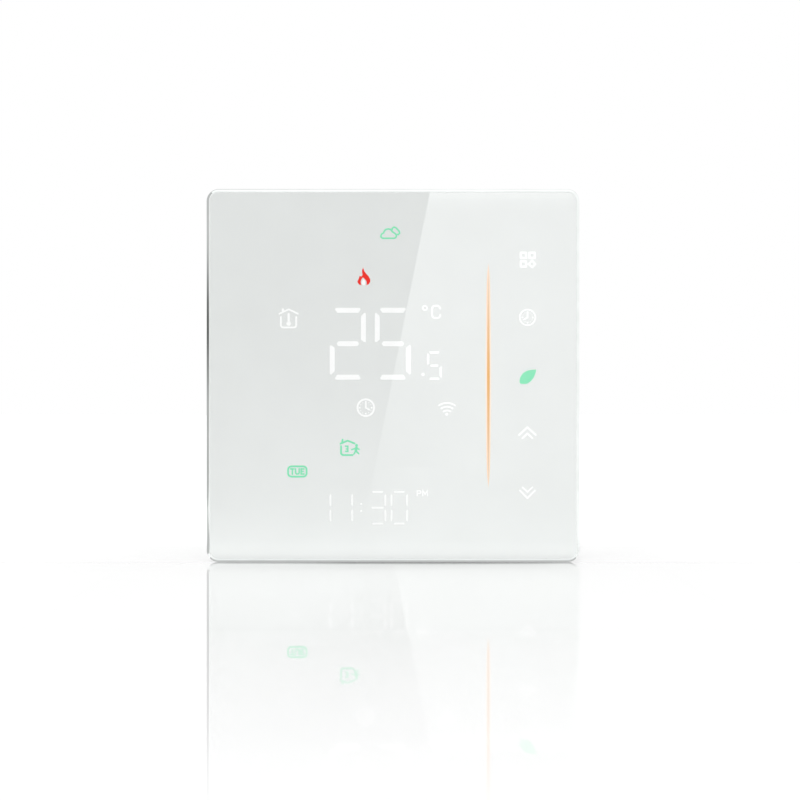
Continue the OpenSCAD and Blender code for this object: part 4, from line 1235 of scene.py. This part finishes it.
def floor():
    """A pale, partly polished floor: its mirror fades out round the object. A contact shadow is painted on it
    at the foot of the glass, its matt part is painted brighter behind the front of the glass to lift the
    object's shade there, and its mirror is painted darker where it shows the right part of the panel.
    """
    reach = 6.0
    _, stage = plane("floor", [(-reach, -reach, FLOOR_Z), (reach, -reach, FLOOR_Z), (reach, reach, FLOOR_Z),
                               (-reach, reach, FLOOR_Z)])

    def by_depth(low, high, stops):
        """A share by the distance behind the front of the glass."""
        placed = [(GLASS_FRONT_Y + away, share) for away, share in stops]
        return stage.curve(stage.y, GLASS_FRONT_Y + low, GLASS_FRONT_Y + high, placed, 1.0)

    # A contact shadow painted on the floor at the foot of the glass: darkest in front of the middle of the
    # panel, fading along x and away from the glass. Both the matt colour and the mirror colour are darkened
    # by it.
    along = [(-0.043, 0), (-0.038, 0.3), (-0.021, 0.5), (-0.01, 1), (0.018, 1), (0.03, 0.7), (0.043, 0)]
    depth = [(-0.03, 0), (-0.013, 0.05), (-0.0095, 0.14), (-0.006, 0.32), (-0.0005, 0.38), (0.002, 0)]
    contact = stage.maths("MULTIPLY", stage.curve(stage.x, -0.043, 0.043, along, 1.0),
                          by_depth(-0.03, 0.002, depth))
    outside_painted_shadow = stage.maths("SUBTRACT", 1.0, contact)

    matt = stage.node("BsdfDiffuse")
    # Painted light: the matt floor goes from 0.95 to full white just behind the front of the glass, lifting
    # the shade that the object casts on the floor there.
    white = stage.ranged(stage.y, -0.01, 0.01, 0.95, 1)
    stage.link(stage.maths("MULTIPLY", outside_painted_shadow, white), matt.inputs["Color"])

    gloss = stage.node("BsdfGlossy")
    gloss.inputs["Roughness"].default_value = 0.0
    # Painted shade in the reflection: the floor's mirror is 7% darker in a band that follows the mirror image
    # of the right part of the panel.
    slope = PANEL / 2 / CAMERA_DISTANCE
    painted_tint = stage.curve(leaning(stage, stage.y, slope, -slope * GLASS_FRONT_Y), -0.01, 0.05,
                       [(-0.005, 1), (0.012, 0.93), (0.0422, 0.93), (0.0438, 1)], 1.0)
    stage.link(stage.maths("MULTIPLY", outside_painted_shadow, painted_tint), gloss.inputs["Color"])

    polish = by_depth(-0.38, 0.01, [(-0.38, 0.1), (-0.18, 0.6), (-0.007, 0.6), (-0.003, 0.85), (0, 0.85),
                                    (0.002, 0.6)])
    for fade in (stage.ranged(stage.maths("ABSOLUTE", stage.x), 0.06, 0.13, 1, 0),
                 stage.ranged(stage.y, 0.05, 0.12, 1, 0)):
        polish = stage.maths("MULTIPLY", polish, fade)
    stage.shown(stage.mixed(polish, matt.outputs["BSDF"], gloss.outputs["BSDF"]))


def world():
    """A bright studio: plain white to the camera, and a soft dome, brighter from above, for the light."""
    made = bpy.data.worlds.new("studio")
    bpy.context.scene.world = made
    stage = Stage(made, "OutputWorld")
    dome, seen = stage.node("Background"), stage.node("Background")
    for background in (dome, seen):
        background.inputs["Color"].default_value = (1, 1, 1, 1)
    stage.link(stage.ranged(stage.z, 0, 1, 0.95, 1.2), dome.inputs["Strength"])
    to_camera = stage.node("LightPath").outputs["Is Camera Ray"]
    stage.shown(stage.mixed(to_camera, dome.outputs["Background"], seen.outputs["Background"]))


# ---------- Everything ----------

white_light = lit("lit_white", "ffffff", 1.05)
green_light = lit("lit_green", "8aefc0", 0.95)
green_key_light = lit("lit_green_key", "7ae6b4", 1.0)
red_light = lit("lit_red", "f21a00", 1.0)
steel = metal("bright_zinc", "bfc4c8", 0.28, vary=0.08)
tin = metal("tin_plate", "c8cbcd", 0.3, (1, 1, 0.1), 0.08)
gold = metal("gold_flash", "d9b75c", 0.25, vary=0.08)
black = moulded("black_epoxy", "232427", 0.5, 0.1, 0.004, 0.12)
ink = moulded("printing_ink", "2a2c2f", 0.6)

glass_front()
temperature_signs(white_light)
clock_signs(white_light)
room_signs(white_light)
coloured_signs(green_light, red_light, white_light)
key_signs(white_light, green_key_light)
light_bar()
housings()
wall_screws(steel)
chips(black, tin)
wifi_module(tin, gold)
coin_cell(steel)
board_details(tin, laminate("raised_tracks", "2f8a5a"))
rear_label(ink)
terminal_numbers(moulded("white_ink", "e9ebea", 0.6))
edged("header_socket", black, FRONT, 0.06 * MM)
edged("board_screws", steel, FRONT, 0.05 * MM)
edged("cover_screws", steel, BASE, 0.05 * MM)
edged("header_base", black, BASE, 0.06 * MM)

paint(moulded("foam_tape", "1b1b1d", 0.8, 0.3, 0.02), "panel_tape")
paint(moulded("film_white", "f0f1f0", 0.5), "display_mask")
paint(moulded("film_milk", "f7f7f2", 0.6), "diffuser_sheet")
paint(moulded("reflector_white", "f3f3f1", 0.55), "segment_reflector")
paint(moulded("amber_acrylic", "ffdcae", 0.15, coat=0.5), "light_bar_guide")
paint(laminate("green_mask", "1d6b43"), "display_board")
paint(laminate("phenolic", "b08b45", 0.8), "power_board")
paint(moulded("led_lens_white", "fff7d8", 0.3), "white_leds")
paint(moulded("led_lens_green", "a6f0c8", 0.3), "green_leds")
paint(moulded("led_lens_red", "ff5a3c", 0.3), "red_led")
paint(moulded("led_lens_amber", "ffc070", 0.3), "amber_leds")
paint(metal("spring_wire", "c6cacd", 0.22), "touch_springs")
paint(moulded("sensor_epoxy", "1f2022", 0.25, coat=0.4), "temperature_sensor")
paint(gold, "header_pins")
paint(black, "power_chips", "relay_bobbin", "transformer_bobbin")
paint(metal("tinned_brass", "cfc39a", 0.3), "terminal_bars", *[f"terminal_clamp_{k}" for k in range(1, 7)])
paint(steel, *[f"terminal_screw_{k}" for k in range(1, 7)])
paint(moulded("relay_case", "2f5aa8", 0.3, coat=0.3), "relay_cover")
paint(moulded("relay_floor", "27407c", 0.5), "relay_base")
paint(metal("enamelled_copper", "b5652b", 0.3, (1, 8, 1)), "relay_winding")
paint(metal("nickel_iron", "a0a4a8", 0.35), "relay_core", "relay_yoke", "relay_armature")
paint(metal("phosphor_bronze", "c8925a", 0.3), "relay_contact_spring", "relay_fixed_contacts")
paint(moulded("ferrite", "2e2f32", 0.6, 0.4, 0.02), "transformer_core")
paint(moulded("winding_tape", "dba92f", 0.25, coat=0.4), "transformer_winding")
paint(moulded("capacitor_sleeve", "22305a", 0.25, coat=0.3), "input_capacitor", "output_capacitor")
paint(moulded("film_box", "d9c838", 0.35), "film_capacitor")
paint(moulded("varistor_dip", "2a68b4", 0.3, 0.6, 0.03), "varistor")
paint(moulded("fuse_lacquer", "3f8560", 0.3), "fuse")

bpy.context.scene.view_settings.view_transform = "Standard"
camera()
floor()
world()
mirrored_card()
floor_card()
floor_fill()
rim_cards()
